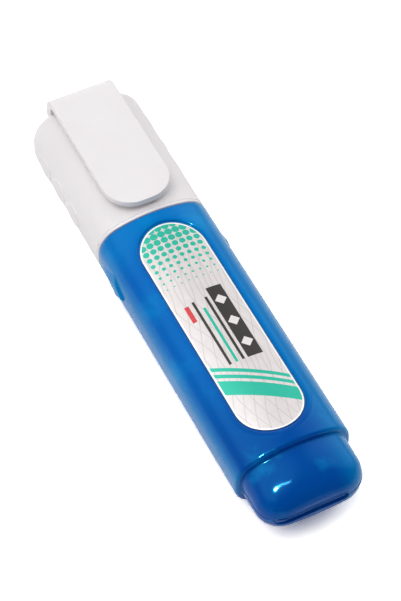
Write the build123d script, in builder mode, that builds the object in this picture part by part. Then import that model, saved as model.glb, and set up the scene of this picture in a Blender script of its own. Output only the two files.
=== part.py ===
from build123d import *
import os
from math import cos, pi, radians, sin, sqrt

# Squeeze correction pen, closed and lying on its back.
# +Y runs from the tail to the cap, +X across the width, +Z out of the label side.
# Z is zero on the table and Y is zero midway along the pen. All lengths are millimetres.

# Bottle, along the pen
TAIL_LENGTH = 10.9
BODY_LENGTH = 65.5
COLLAR_LENGTH = 11.9
NECK_LENGTH = 4.0

# Pillow-shaped section shared by the bottle and the cap
BODY_WIDTH = 26.0
BODY_THICKNESS = 17.4
CROWN_SAG = 2.8
SIDE_SAG = 0.6
SIDE_LAND = 2.3
REST_TRIM = 0.15

# Bottle walls, edges and neck
BOTTLE_WALL = 1.2
STEP_ROUND = 0.9
RIM_ROUND = 0.35
TAIL_SIDE_INSET = 1.17
TAIL_FACE_INSET = 1.6
TAIL_SIDE_ROUND = 5.3
TAIL_STUB = 1.1
TAIL_END_HEIGHT = 3.6
TAIL_STEPS = 8
COLLAR_ROUND = 1.6
NECK_RADIUS = 5.4
NECK_BORE = 4.3

# Pinch-off weld across the tail, and the mould's parting line around it
PINCH_LENGTH = 16.4
PINCH_WIDTH = 1.9
PINCH_DEPTH = 0.8
PINCH_OFFSET = 1.5
BEAD_WIDTH = 0.8
BEAD_HEIGHT = 0.45
PARTING_WIDTH = 0.3
PARTING_RISE = 0.12

# Thumb lugs on the narrow sides, below the cap
LUG_LENGTH = 10.9
LUG_HEIGHT = 5.2
LUG_RISE = 0.55
LUG_SINK = 0.25
LUG_TOP_DROP = 2.0
LUG_APEX_SHARE = 0.43
LUG_FACET_SHARE = 0.62
LUG_PIVOT_SHARE = 0.13

# Label and its pocket
LABEL_SIDE_GAP = 5.5
LABEL_TAIL_GAP = 4.3
LABEL_RIM_GAP = 3.4
LABEL_THICKNESS = 0.12
POCKET_DEPTH = 0.55
POCKET_MARGIN = 0.4
POCKET_ROUND = 0.3

# Nozzle
GASKET_THICKNESS = 0.6
FLANGE_THICKNESS = 1.4
PLUG_LENGTH = 6.5
FLARE_RADIUS = 4.6
FLARE_LENGTH = 7.5
LAND_RADIUS = 2.4
LAND_LENGTH = 2.5
NOSE_RADIUS = 1.6
NOSE_LENGTH = 0.6
VALVE_BORE = 1.9
SEAT_LENGTH = 0.8
THROAT_RADIUS = 0.9
THROAT_LENGTH = 0.8

# Metal tip
SHANK_RADIUS = 1.25
SHANK_LENGTH = 6.2
INLET_LENGTH = 1.8
TUBE_RADIUS = 0.75
TUBE_LENGTH = 3.0
TIP_CONE_LENGTH = 0.4
TIP_RADIUS = 0.5
TIP_LENGTH = 1.2

# Needle valve
NEEDLE_RADIUS = 0.25
NEEDLE_FIT = 0.06
NEEDLE_PROTRUSION = 0.5
PLUNGER_RADIUS = 1.5
PLUNGER_LENGTH = 2.6
SEAT_GAP = 0.08
WIRE_RADIUS = 0.2
COIL_RADIUS = 1.25
COIL_TURNS = 5
ARCS_PER_TURN = 4
RETAINER_LENGTH = 1.6
PORT_WIDTH = 0.7
PORT_DEPTH = 0.6
PORT_COUNT = 3

# Cap
CAP_WALL = 1.25
CAP_FIT = 0.15
CAP_TABLE_GAP = 0.15
RIM_GAP = 0.25
LIP_ROUND = 0.35
LIP_HEIGHT = 0.6
LIP_GROOVE_WIDTH = 0.2
LIP_GROOVE_DEPTH = 0.12
DOME_LENGTH = 3.8
DOME_SIDE_INSET = 3.2
DOME_FACE_INSET = 2.8
DOME_STEPS = 6
BOSS_WALL = 1.1
BOSS_LENGTH = 8.6

# Grip pads on the cap's narrow sides
GRIP_COUNT = 3
GRIP_PITCH = 7.0
GRIP_FIRST = 11.1
GRIP_LENGTH = 6.2
GRIP_HEIGHT = 4.0
GRIP_RISE = 0.3

# Clip, one moulding with the cap
CLIP_WIDTH = 15.4
CLIP_THICKNESS = 1.4
CLIP_GAP = 1.1
CLIP_OVERREACH = 1.5
CLIP_SINK = 1.2
CLIP_BEND = 4.0
CLIP_INNER_BEND = 1.6
CLIP_DROP = 11.0
CLIP_FOOT_ROUND = 5.0
CLIP_RIM_OFFSET = 2.0
CLIP_TIP_LAND = 1.2
CLIP_EDGE_ROUND = 0.4
NUB_OFFSET = 5.0
NUB_LENGTH = 2.8
NUB_HEIGHT = 0.75

# Inner cap and seal
INNER_CAP_RADIUS = 4.2
INNER_CAP_END = 1.35
SEAL_FIT = 0.06
SEAL_FLARE = 0.95
SEAL_FLARE_LENGTH = 2.0
SEAL_LEAD = 0.3
TIP_ROOM_RADIUS = 2.0
SEAL_THICKNESS = 1.0
SEAL_STANDOFF = 0.3

# Mixing ball
BALL_RADIUS = 3.0
BALL_CLEARANCE = 0.1
BALL_REST = 12.0

# Stations above the cap's rim, worked out from the pieces that the cap covers
SHOULDER_RISE = COLLAR_LENGTH
FLANGE_RISE = SHOULDER_RISE + NECK_LENGTH + GASKET_THICKNESS
LAND_RISE = FLANGE_RISE + FLANGE_THICKNESS + FLARE_LENGTH
NOSE_RISE = LAND_RISE + LAND_LENGTH + NOSE_LENGTH
TIP_RISE = NOSE_RISE + TUBE_LENGTH + TIP_CONE_LENGTH + TIP_LENGTH
SEAL_RISE = TIP_RISE + NEEDLE_PROTRUSION + SEAL_STANDOFF
CAP_LENGTH = SEAL_RISE + SEAL_THICKNESS + INNER_CAP_END + CAP_WALL

# Sizes taken from the bottle's section and length, and from the clip's width
CORNER_RADIUS = BODY_THICKNESS / 2 - SIDE_LAND
LABEL_WIDTH = BODY_WIDTH - 2 * LABEL_SIDE_GAP
LABEL_LENGTH = BODY_LENGTH - LABEL_TAIL_GAP - LABEL_RIM_GAP
CLIP_END_ROUND = CLIP_WIDTH / 2 - CLIP_TIP_LAND

# Stations along Y and Z in the pen's frame
OVERALL_LENGTH = PARTING_RISE + TAIL_LENGTH + BODY_LENGTH + CAP_LENGTH + CLIP_OVERREACH
AXIS_Z = BODY_THICKNESS / 2 - REST_TRIM
TAIL_Y = PARTING_RISE - OVERALL_LENGTH / 2
STEP_Y = TAIL_Y + TAIL_LENGTH
RIM_Y = STEP_Y + BODY_LENGTH
SHOULDER_Y = RIM_Y + SHOULDER_RISE
NECK_TOP_Y = SHOULDER_Y + NECK_LENGTH
FLANGE_Y = RIM_Y + FLANGE_RISE
FLARE_Y = FLANGE_Y + FLANGE_THICKNESS
LAND_Y = RIM_Y + LAND_RISE
NOSE_Y = RIM_Y + NOSE_RISE
TUBE_END_Y = NOSE_Y + TUBE_LENGTH
TIP_Y = RIM_Y + TIP_RISE
NEEDLE_Y = TIP_Y + NEEDLE_PROTRUSION
PLUG_Y = FLANGE_Y - PLUG_LENGTH
RETAINER_Y = PLUG_Y + RETAINER_LENGTH
SHANK_Y = NOSE_Y - SHANK_LENGTH
THROAT_Y = SHANK_Y - THROAT_LENGTH
SEAT_Y = THROAT_Y - SEAT_LENGTH
PLUNGER_Y = SEAT_Y - PLUNGER_LENGTH
SEAL_Y = RIM_Y + SEAL_RISE
SEAL_TOP_Y = SEAL_Y + SEAL_THICKNESS
CAP_END_Y = RIM_Y + CAP_LENGTH
CAP_ROOF_Y = CAP_END_Y - CAP_WALL
CLIP_END_Y = CAP_END_Y + CLIP_OVERREACH
CLIP_LOW_Y = RIM_Y + CLIP_RIM_OFFSET
LABEL_Y = STEP_Y + LABEL_TAIL_GAP + LABEL_LENGTH / 2
COLLAR_INSET = CAP_WALL + CAP_FIT
BALL_Z = BOTTLE_WALL - REST_TRIM + BALL_RADIUS + BALL_CLEARANCE

PEN_AXIS = Axis((0, 0, AXIS_Z), (0, 1, 0))
SIDE_VIEW = Plane(origin=(0, 0, AXIS_Z), x_dir=(0, 1, 0), z_dir=(1, 0, 0))


def across(y):
    """Plane across the pen at y, facing the cap, with its own Y upwards."""
    return Plane(origin=(0, y, AXIS_Z), x_dir=(-1, 0, 0), z_dir=(0, 1, 0))


def pillow(side_inset=0, face_inset=0, crown_share=1):
    """Pen section with crowned faces and sides, drawn in by the insets, with a share of its crown."""
    width_share = 1 - 2 * side_inset / BODY_WIDTH
    thickness_share = 1 - 2 * face_inset / BODY_THICKNESS
    half_width = BODY_WIDTH / 2 * width_share
    half_thickness = BODY_THICKNESS / 2 * thickness_share
    edge_x = half_width - SIDE_SAG * thickness_share
    edge_z = half_thickness - CROWN_SAG * width_share * crown_share
    with BuildSketch(mode=Mode.PRIVATE) as section:
        with BuildLine():
            ThreePointArc((-edge_x, edge_z), (0, half_thickness), (edge_x, edge_z))
            ThreePointArc((edge_x, edge_z), (half_width, 0), (edge_x, -edge_z))
            ThreePointArc((edge_x, -edge_z), (0, -half_thickness), (-edge_x, -edge_z))
            ThreePointArc((-edge_x, -edge_z), (-half_width, 0), (-edge_x, edge_z))
        make_face()
        fillet(section.vertices(), radius=CORNER_RADIUS * min(width_share, thickness_share))
    return section.sketch


def hood(inset):
    """Outside of the cap drawn in by inset: a straight skirt, then a dome to the end."""
    dome_y = CAP_END_Y - DOME_LENGTH
    with BuildPart(mode=Mode.PRIVATE) as form:
        with BuildSketch(across(RIM_Y)):
            add(pillow(inset, inset))
        extrude(amount=dome_y - RIM_Y)
        for step in range(DOME_STEPS + 1):
            angle = radians(90 * step / DOME_STEPS)
            with BuildSketch(across(dome_y + (DOME_LENGTH - inset) * sin(angle))):
                add(
                    pillow(
                        inset + (DOME_SIDE_INSET - inset) * (1 - cos(angle)),
                        inset + (DOME_FACE_INSET - inset) * (1 - cos(angle)),
                    )
                )
        loft()
    return form.part


def tail(wall, end_wall):
    """Tail drawn in by wall, and at its end by end_wall: a stub that rounds down to the weld."""
    bend_y = STEP_Y - TAIL_STUB
    bend = bend_y - TAIL_Y - end_wall
    corner = TAIL_SIDE_ROUND - wall
    droop = (BODY_THICKNESS - TAIL_END_HEIGHT) / 2 - TAIL_FACE_INSET - wall
    end_share = TAIL_END_HEIGHT / BODY_THICKNESS
    with BuildPart(mode=Mode.PRIVATE) as form:
        with BuildSketch(across(bend_y)):
            add(pillow(TAIL_SIDE_INSET + wall, TAIL_FACE_INSET + wall))
        extrude(amount=STEP_Y + BOTTLE_WALL - bend_y)
        for step in range(TAIL_STEPS + 1):
            angle = radians(90 * step / TAIL_STEPS)
            reach = bend * (1 - cos(angle))
            side_share = sqrt(1 - max(1 - reach / corner, 0) ** 2)
            with BuildSketch(across(TAIL_Y + end_wall + reach)):
                add(
                    pillow(
                        TAIL_SIDE_INSET + wall + corner * (1 - side_share),
                        TAIL_FACE_INSET + wall + droop * (1 - sin(angle)),
                        end_share + (1 - end_share) * sin(angle),
                    )
                )
        loft()
    return form.part


def lug_outline(reach):
    """Corners of the lug's diamond at a height above the side, drawn in as it rises."""
    share = 1 - (1 - LUG_FACET_SHARE) * reach / LUG_RISE
    low_y = RIM_Y - LUG_TOP_DROP - LUG_LENGTH
    pivot_y = low_y + LUG_PIVOT_SHARE * LUG_LENGTH
    apex_y = low_y + LUG_APEX_SHARE * LUG_LENGTH
    corners = (
        (low_y + LUG_LENGTH, 0),
        (apex_y, LUG_HEIGHT / 2),
        (low_y, 0),
        (apex_y, -LUG_HEIGHT / 2),
    )
    return [(pivot_y + share * (y - pivot_y), share * z) for y, z in corners]


def label_outline(margin):
    """Obround of the label, widened by margin."""
    with BuildSketch(mode=Mode.PRIVATE) as outline:
        with Locations((0, LABEL_Y)):
            SlotOverall(LABEL_LENGTH + 2 * margin, LABEL_WIDTH + 2 * margin, rotation=90)
    return outline.sketch


def on_skin(edge):
    """Whether both ends of an edge lie nearer to the bottle's skin than to the pocket's floor."""
    with BuildPart(mode=Mode.PRIVATE) as core:
        with BuildSketch(across(STEP_Y)):
            add(pillow(0, POCKET_DEPTH / 2))
        extrude(amount=BODY_LENGTH)
    return not any(core.part.is_inside(edge @ share) for share in (0, 1))


def coil_point(turn):
    """Point on the spring's centre line, counted in turns from the retainer."""
    rise = (PLUNGER_Y - RETAINER_Y - 2 * WIRE_RADIUS) / COIL_TURNS
    angle = 2 * pi * turn
    return Vector(
        COIL_RADIUS * cos(angle),
        RETAINER_Y + WIRE_RADIUS + rise * turn,
        AXIS_Z + COIL_RADIUS * sin(angle),
    )


def coil_direction(turn):
    """Direction of the spring's centre line at a turn."""
    rise = (PLUNGER_Y - RETAINER_Y - 2 * WIRE_RADIUS) / COIL_TURNS
    angle = 2 * pi * turn
    along = Vector(-2 * pi * COIL_RADIUS * sin(angle), rise, 2 * pi * COIL_RADIUS * cos(angle))
    return along.normalized()


# Cutter for the label pocket, whose floor follows the crown
with BuildPart() as label_pocket:
    with BuildSketch(Plane.XY.offset(AXIS_Z)):
        add(label_outline(POCKET_MARGIN))
    extrude(amount=BODY_THICKNESS)
    with BuildSketch(across(STEP_Y)):
        add(pillow(0, POCKET_DEPTH))
    extrude(amount=BODY_LENGTH, mode=Mode.SUBTRACT)

# Inside of the bottle: body, tail, collar and neck bore
with BuildPart() as chamber:
    add(tail(BOTTLE_WALL, PINCH_DEPTH + BOTTLE_WALL))
    with BuildSketch(across(STEP_Y + BOTTLE_WALL)):
        add(pillow(BOTTLE_WALL, BOTTLE_WALL))
    extrude(amount=BODY_LENGTH - 2 * BOTTLE_WALL)
    with BuildSketch(across(RIM_Y - 2 * BOTTLE_WALL)):
        add(pillow(COLLAR_INSET + BOTTLE_WALL, COLLAR_INSET + BOTTLE_WALL))
    extrude(amount=COLLAR_LENGTH + BOTTLE_WALL)
    with BuildSketch(across(RIM_Y)):
        Circle(NECK_BORE)
    extrude(amount=COLLAR_LENGTH + NECK_LENGTH)

# Bottle: body, label pocket, lugs, tail with its parting line and pinch-off weld, collar and neck
with BuildPart() as barrel:
    with BuildSketch(across(STEP_Y)):
        add(pillow())
    extrude(amount=BODY_LENGTH)
    fillet(faces().sort_by(Axis.Y)[0].edges(), radius=STEP_ROUND)
    fillet(faces().sort_by(Axis.Y)[-1].edges(), radius=RIM_ROUND)
    add(label_pocket.part, mode=Mode.SUBTRACT)
    fillet(edges(Select.LAST).filter_by(on_skin), radius=POCKET_ROUND)
    for side in (-1, 1):
        for reach in (-LUG_SINK, LUG_RISE):
            with BuildSketch(SIDE_VIEW.offset(side * (BODY_WIDTH / 2 + reach))):
                Polygon(*lug_outline(reach), align=None)
        loft(ruled=True)
    split(bisect_by=Plane.XY, keep=Keep.TOP)
    add(tail(0, 0))
    with BuildSketch(Plane.XY.offset(AXIS_Z)):
        with Locations((0, STEP_Y - TAIL_LENGTH / 2)):
            Rectangle(BODY_WIDTH - 2 * TAIL_SIDE_INSET, TAIL_LENGTH)
        fillet(vertices().group_by(Axis.Y)[0], radius=TAIL_SIDE_ROUND)
        offset(amount=PARTING_RISE)
    extrude(amount=PARTING_WIDTH / 2, both=True)
    with BuildSketch(across(TAIL_Y - PARTING_RISE)):
        with Locations((PINCH_OFFSET, 0)):
            SlotOverall(PINCH_LENGTH, PINCH_WIDTH)
    extrude(amount=PARTING_RISE + PINCH_DEPTH, mode=Mode.SUBTRACT)
    with BuildSketch(across(TAIL_Y + PINCH_DEPTH)):
        with Locations((PINCH_OFFSET, 0)):
            SlotOverall(PINCH_LENGTH - PINCH_WIDTH, BEAD_WIDTH)
    extrude(amount=-BEAD_HEIGHT)
    with BuildSketch(across(RIM_Y - BOTTLE_WALL)):
        add(pillow(COLLAR_INSET, COLLAR_INSET))
    extrude(amount=COLLAR_LENGTH + BOTTLE_WALL)
    fillet(faces().sort_by(Axis.Y)[-1].edges(), radius=COLLAR_ROUND)
    with BuildSketch(across(SHOULDER_Y)):
        Circle(NECK_RADIUS)
    extrude(amount=NECK_LENGTH)
    add(chamber.part, mode=Mode.SUBTRACT)

# Foil label, curved with the crown and lying on the pocket's floor
with BuildPart() as front_label:
    with BuildSketch(across(STEP_Y)):
        add(pillow(0, POCKET_DEPTH - LABEL_THICKNESS))
    extrude(amount=BODY_LENGTH)
    with BuildSketch(across(STEP_Y)):
        add(pillow(0, POCKET_DEPTH))
    extrude(amount=BODY_LENGTH, mode=Mode.SUBTRACT)
    with BuildSketch(Plane.XY.offset(AXIS_Z)):
        add(label_outline(0))
    extrude(amount=BODY_THICKNESS, mode=Mode.INTERSECT)

# Clip: a strap bent over the cap's end, with a nub that bites the pocket's cloth
with BuildPart() as clip:
    under = BODY_THICKNESS / 2 + CLIP_GAP
    top = under + CLIP_THICKNESS
    foot = top - CLIP_DROP
    stem_y = CAP_END_Y - CLIP_SINK
    nub_y = CLIP_LOW_Y + NUB_OFFSET
    with BuildSketch(SIDE_VIEW):
        with BuildLine():
            Line((CLIP_LOW_Y, top), (CLIP_END_Y - CLIP_BEND, top))
            TangentArc((CLIP_END_Y - CLIP_BEND, top), (CLIP_END_Y, top - CLIP_BEND), tangent=(1, 0))
            Polyline(
                (CLIP_END_Y, top - CLIP_BEND),
                (CLIP_END_Y, foot),
                (stem_y, foot),
                (stem_y, under - CLIP_INNER_BEND),
            )
            TangentArc(
                (stem_y, under - CLIP_INNER_BEND),
                (stem_y - CLIP_INNER_BEND, under),
                tangent=(0, 1),
            )
            Line((stem_y - CLIP_INNER_BEND, under), (nub_y + NUB_LENGTH / 2, under))
            ThreePointArc(
                (nub_y + NUB_LENGTH / 2, under),
                (nub_y, under - NUB_HEIGHT),
                (nub_y - NUB_LENGTH / 2, under),
            )
            Polyline((nub_y - NUB_LENGTH / 2, under), (CLIP_LOW_Y, under), (CLIP_LOW_Y, top))
        make_face()
    extrude(amount=CLIP_WIDTH / 2, both=True)
    fillet(faces().sort_by(Axis.Z)[0].edges().filter_by(Axis.Y), radius=CLIP_FOOT_ROUND)
    with BuildSketch(Plane.XY):
        with Locations((0, (CLIP_LOW_Y + CLIP_END_Y) / 2)):
            Rectangle(CLIP_WIDTH, CLIP_END_Y - CLIP_LOW_Y)
        fillet(vertices().group_by(Axis.Y)[0], radius=CLIP_END_ROUND)
    extrude(amount=2 * BODY_THICKNESS, mode=Mode.INTERSECT)
    strap_top = faces().filter_by(Plane.XY).sort_by(Axis.Z)[-1]
    fillet(strap_top.edges().sort_by(Axis.Y)[:-1], radius=CLIP_EDGE_ROUND)

# Leaf-shaped grip pads, one height all over, made as bars right across the cap
with BuildPart() as grips:
    with BuildSketch(across(RIM_Y)):
        add(pillow(-GRIP_RISE))
    extrude(amount=CAP_LENGTH)
    with BuildSketch(SIDE_VIEW):
        for index in range(GRIP_COUNT):
            grip_y = RIM_Y + GRIP_FIRST + index * GRIP_PITCH
            low, high = (grip_y - GRIP_LENGTH / 2, 0), (grip_y + GRIP_LENGTH / 2, 0)
            with BuildLine():
                ThreePointArc(low, (grip_y, GRIP_HEIGHT / 2), high)
                ThreePointArc(high, (grip_y, -GRIP_HEIGHT / 2), low)
            make_face()
    extrude(amount=BODY_WIDTH, both=True, mode=Mode.INTERSECT)

# Cap: hood with grip pads, lip, clip and the socket of the inner cap
with BuildPart() as cap:
    add(hood(0))
    split(bisect_by=across(RIM_Y + RIM_GAP), keep=Keep.TOP)
    fillet(faces().sort_by(Axis.Y)[0].edges(), radius=LIP_ROUND)
    with BuildSketch(across(RIM_Y + RIM_GAP + LIP_HEIGHT)):
        add(pillow())
        add(pillow(LIP_GROOVE_DEPTH, LIP_GROOVE_DEPTH), mode=Mode.SUBTRACT)
    extrude(amount=LIP_GROOVE_WIDTH, mode=Mode.SUBTRACT)
    add(grips.part)
    add(clip.part)
    split(bisect_by=Plane.XY.offset(CAP_TABLE_GAP), keep=Keep.TOP)
    add(hood(CAP_WALL), mode=Mode.SUBTRACT)
    with BuildSketch(across(CAP_ROOF_Y - BOSS_LENGTH)):
        Circle(INNER_CAP_RADIUS + BOSS_WALL)
        Circle(INNER_CAP_RADIUS, mode=Mode.SUBTRACT)
    extrude(amount=BOSS_LENGTH + CAP_WALL / 2)

# Inner cap: a cup pressed into the cap's socket, closing on the nozzle's land
with BuildPart() as inner_cap:
    land_bore = LAND_RADIUS + SEAL_FIT
    with BuildSketch(SIDE_VIEW):
        with BuildLine():
            Polyline(
                (LAND_Y - SEAL_FLARE_LENGTH, land_bore + SEAL_FLARE),
                (LAND_Y - SEAL_FLARE_LENGTH, INNER_CAP_RADIUS),
                (CAP_ROOF_Y, INNER_CAP_RADIUS),
                (CAP_ROOF_Y, 0),
                (SEAL_TOP_Y, 0),
                (SEAL_TOP_Y, TIP_ROOM_RADIUS),
                (NOSE_Y + SEAL_LEAD, TIP_ROOM_RADIUS),
                (NOSE_Y + SEAL_LEAD, land_bore),
                (LAND_Y + SEAL_LEAD, land_bore),
                close=True,
            )
        make_face()
    revolve(axis=PEN_AXIS)

# Elastomer disc that closes the tip's mouth
with BuildPart() as tip_seal:
    with BuildSketch(across(SEAL_Y)):
        Circle(TIP_ROOM_RADIUS)
    extrude(amount=SEAL_THICKNESS)

# Nozzle: plug, flange, flared cone, seal land and the valve's bore and seat
with BuildPart() as nozzle:
    with BuildSketch(SIDE_VIEW):
        with BuildLine():
            TangentArc((LAND_Y, LAND_RADIUS), (FLARE_Y, FLARE_RADIUS), tangent=(-1, 0))
            Polyline(
                (FLARE_Y, FLARE_RADIUS),
                (FLARE_Y, NECK_RADIUS),
                (FLANGE_Y, NECK_RADIUS),
                (FLANGE_Y, NECK_BORE),
                (PLUG_Y, NECK_BORE),
                (PLUG_Y, VALVE_BORE),
                (SEAT_Y, VALVE_BORE),
                (THROAT_Y, THROAT_RADIUS),
                (SHANK_Y, THROAT_RADIUS),
                (SHANK_Y, SHANK_RADIUS),
                (NOSE_Y, SHANK_RADIUS),
                (NOSE_Y, NOSE_RADIUS),
                (NOSE_Y - NOSE_LENGTH, LAND_RADIUS),
                (LAND_Y, LAND_RADIUS),
            )
        make_face()
    revolve(axis=PEN_AXIS)

# Gasket between the neck's mouth and the nozzle's flange
with BuildPart() as nozzle_gasket:
    with BuildSketch(across(NECK_TOP_Y)):
        Circle(NECK_RADIUS)
        Circle(NECK_BORE, mode=Mode.SUBTRACT)
    extrude(amount=GASKET_THICKNESS)

# Metal tip: shank pressed into the nozzle, tube, and a fine end that the needle closes
with BuildPart() as metal_tip:
    needle_bore = NEEDLE_RADIUS + NEEDLE_FIT
    with BuildSketch(SIDE_VIEW):
        with BuildLine():
            Polyline(
                (SHANK_Y, THROAT_RADIUS),
                (SHANK_Y, SHANK_RADIUS),
                (NOSE_Y, SHANK_RADIUS),
                (NOSE_Y, TUBE_RADIUS),
                (TUBE_END_Y, TUBE_RADIUS),
                (TUBE_END_Y + TIP_CONE_LENGTH, TIP_RADIUS),
                (TIP_Y, TIP_RADIUS),
                (TIP_Y, needle_bore),
                (SHANK_Y + INLET_LENGTH, needle_bore),
                (SHANK_Y + INLET_LENGTH, THROAT_RADIUS),
                close=True,
            )
        make_face()
    revolve(axis=PEN_AXIS)

# Needle: a wire that stands a little out of the tip until it is pressed
with BuildPart() as valve_needle:
    with BuildSketch(across(PLUG_Y)):
        Circle(NEEDLE_RADIUS)
    extrude(amount=NEEDLE_Y - PLUG_Y)

# Plunger moulded on the needle, with a cone that closes the valve's seat
with BuildPart() as needle_plunger:
    seat_slope_share = SEAT_LENGTH / (VALVE_BORE - THROAT_RADIUS)
    cone_y = SEAT_Y - SEAT_GAP + (VALVE_BORE - PLUNGER_RADIUS) * seat_slope_share
    with BuildSketch(SIDE_VIEW):
        with BuildLine():
            Polyline(
                (PLUNGER_Y, NEEDLE_RADIUS),
                (PLUNGER_Y, PLUNGER_RADIUS),
                (cone_y, PLUNGER_RADIUS),
                (THROAT_Y - SEAT_GAP, THROAT_RADIUS),
                (THROAT_Y - SEAT_GAP, NEEDLE_RADIUS),
                close=True,
            )
        make_face()
    revolve(axis=PEN_AXIS)

# Spring: one wire of biarcs, two to each stretch of a turn
with BuildPart() as valve_spring:
    with BuildLine() as coil:
        for arc in range(COIL_TURNS * ARCS_PER_TURN):
            start, end = (coil_point((arc + more) / ARCS_PER_TURN) for more in (0, 1))
            leave, arrive = (coil_direction((arc + more) / ARCS_PER_TURN) for more in (0, 1))
            chord = end - start
            both = leave + arrive
            spread = 2 * (1 - leave.dot(arrive))
            reach = (sqrt(chord.dot(both) ** 2 + spread * chord.dot(chord)) - chord.dot(both)) / spread
            middle = (start + end + (leave - arrive) * reach) / 2
            TangentArc(start, middle, tangent=leave)
            TangentArc(middle, end, tangent=(end - arrive * reach) - (start + leave * reach))
    with BuildSketch(Plane(origin=coil_point(0), z_dir=coil_direction(0))):
        Circle(WIRE_RADIUS)
    sweep(path=coil.line)

# Retainer behind the spring, with ports for the fluid and a guide for the needle
with BuildPart() as spring_retainer:
    with BuildSketch(across(PLUG_Y)):
        Circle(VALVE_BORE)
        Circle(NEEDLE_RADIUS + NEEDLE_FIT, mode=Mode.SUBTRACT)
        with PolarLocations(VALVE_BORE, PORT_COUNT):
            Rectangle(2 * PORT_DEPTH, PORT_WIDTH, mode=Mode.SUBTRACT)
    extrude(amount=RETAINER_LENGTH)

# Steel ball that stirs the fluid when the pen is shaken
with BuildPart() as mixing_ball:
    with Locations((0, STEP_Y + BALL_REST, BALL_Z)):
        Sphere(BALL_RADIUS)

pieces = {
    "barrel": barrel,
    "front_label": front_label,
    "cap": cap,
    "inner_cap": inner_cap,
    "tip_seal": tip_seal,
    "nozzle": nozzle,
    "nozzle_gasket": nozzle_gasket,
    "metal_tip": metal_tip,
    "valve_needle": valve_needle,
    "needle_plunger": needle_plunger,
    "valve_spring": valve_spring,
    "spring_retainer": spring_retainer,
    "mixing_ball": mixing_ball,
}
os.makedirs("parts", exist_ok=True)
for name, piece in pieces.items():
    piece.part.label = name
    export_step(piece.part, f"parts/{name}.step")

coil_turns = [turn / ARCS_PER_TURN for turn in range((COIL_TURNS - 1) * ARCS_PER_TURN + 1)]
coil_gap = min((coil_point(turn + 1) - coil_point(turn)).length for turn in coil_turns) - 2 * WIRE_RADIUS
print(f"least gap between the spring's turns: {coil_gap:.2f} mm")
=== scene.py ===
import logging
import math
from dataclasses import dataclass
from enum import Enum
from functools import cache
from typing import Any, Callable, Iterable, Sequence

import bmesh
import bpy
from mathutils import Matrix, Vector


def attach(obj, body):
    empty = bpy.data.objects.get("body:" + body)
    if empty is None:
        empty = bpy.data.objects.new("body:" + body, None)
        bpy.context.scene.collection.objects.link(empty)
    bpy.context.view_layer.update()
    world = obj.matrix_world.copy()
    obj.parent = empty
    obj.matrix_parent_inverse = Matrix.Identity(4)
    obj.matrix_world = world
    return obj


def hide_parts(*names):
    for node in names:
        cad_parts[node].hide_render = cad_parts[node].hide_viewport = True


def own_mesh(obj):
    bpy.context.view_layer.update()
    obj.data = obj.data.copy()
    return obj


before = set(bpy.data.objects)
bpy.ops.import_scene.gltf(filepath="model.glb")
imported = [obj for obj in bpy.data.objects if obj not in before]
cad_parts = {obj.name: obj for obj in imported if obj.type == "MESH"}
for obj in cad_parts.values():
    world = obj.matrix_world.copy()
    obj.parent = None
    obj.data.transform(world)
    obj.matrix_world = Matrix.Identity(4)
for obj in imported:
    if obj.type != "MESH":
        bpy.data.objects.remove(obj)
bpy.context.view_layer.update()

# Squeeze correction pen, closed, lying on its back. Sizes in the classes are millimetres.
# +Y runs from the tail to the cap, +X across the width, +Z out of the label side.

MM = 0.001
LOG = logging.getLogger("correction_pen")

# Places along the pen from the tail to the cap's end
TAIL_Y = -57.64
STEP_Y = TAIL_Y + 10.9
LABEL_Y = STEP_Y + 33.2
RIM_Y = STEP_Y + 65.5
SHOULDER_Y = RIM_Y + 11.9
NECK_TOP_Y = SHOULDER_Y + 4.0
FLANGE_Y = NECK_TOP_Y + 0.6
FLARE_Y = FLANGE_Y + 1.4
LAND_Y = FLARE_Y + 7.5
NOSE_Y = LAND_Y + 3.1
TIP_Y = NOSE_Y + 4.6
SEAL_Y = TIP_Y + 0.8
CAP_ROOF_Y = SEAL_Y + 2.35
CAP_END_Y = CAP_ROOF_Y + 1.25

# Places of the needle valve
PLUG_Y = FLANGE_Y - 6.5
RETAINER_Y = PLUG_Y + 1.6
SHANK_Y = NOSE_Y - 6.2
THROAT_Y = SHANK_Y - 0.8
SEAT_Y = THROAT_Y - 0.8
PLUNGER_Y = SEAT_Y - 2.6

# Sizes that two pieces share
NECK_RADIUS = 5.4
NECK_BORE = 4.3
SOCKET_RADIUS = 4.2

# Steps of a full spin, distance within which points are one, and slope that counts as level
SPIN_STEPS = 72
SAME_PLACE = 0.002
LEVEL = 1e-6

BMesh = bmesh.types.BMesh
Loop = list[bmesh.types.BMVert]
Material = bpy.types.Material
Piece = bpy.types.Object
Place = Callable[[int], Vector]
Profile = Sequence[tuple[float, float]]
Ring = tuple[Loop, list[float]]
Socket = bpy.types.NodeSocket
Spoke = tuple[Vector, Vector]
Station = tuple[Vector, Vector, float]
Tree = bpy.types.NodeTree


class Body(Enum):
    """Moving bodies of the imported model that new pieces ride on."""

    BOTTLE = "bottle"
    CAP = "cap"


class Slot(Enum):
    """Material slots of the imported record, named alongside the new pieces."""

    BLUE = "blue_polypropylene"
    WHITE = "white_polypropylene"
    FOIL = "silver_foil"
    NOZZLE = "white_polyethylene"
    ELASTOMER = "elastomer"
    TIP = "nickel_silver"
    WIRE = "stainless_wire"


class Axis(Enum):
    """Axes along which painted light or shade can change."""

    ACROSS = "X"
    ALONG = "Y"


def linear(code: str) -> tuple[float, float, float, float]:
    """Turns an sRGB hex colour to linear.

    Args:
        code: Colour as six hex digits after a hash sign.

    Returns:
        Linear red, green, blue and an alpha of 1.
    """
    shares = [int(code[start:start + 2], 16) / 255 for start in (1, 3, 5)]
    values = [s / 12.92 if s <= 0.04045 else ((s + 0.055) / 1.055) ** 2.4 for s in shares]
    return (values[0], values[1], values[2], 1.0)


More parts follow.
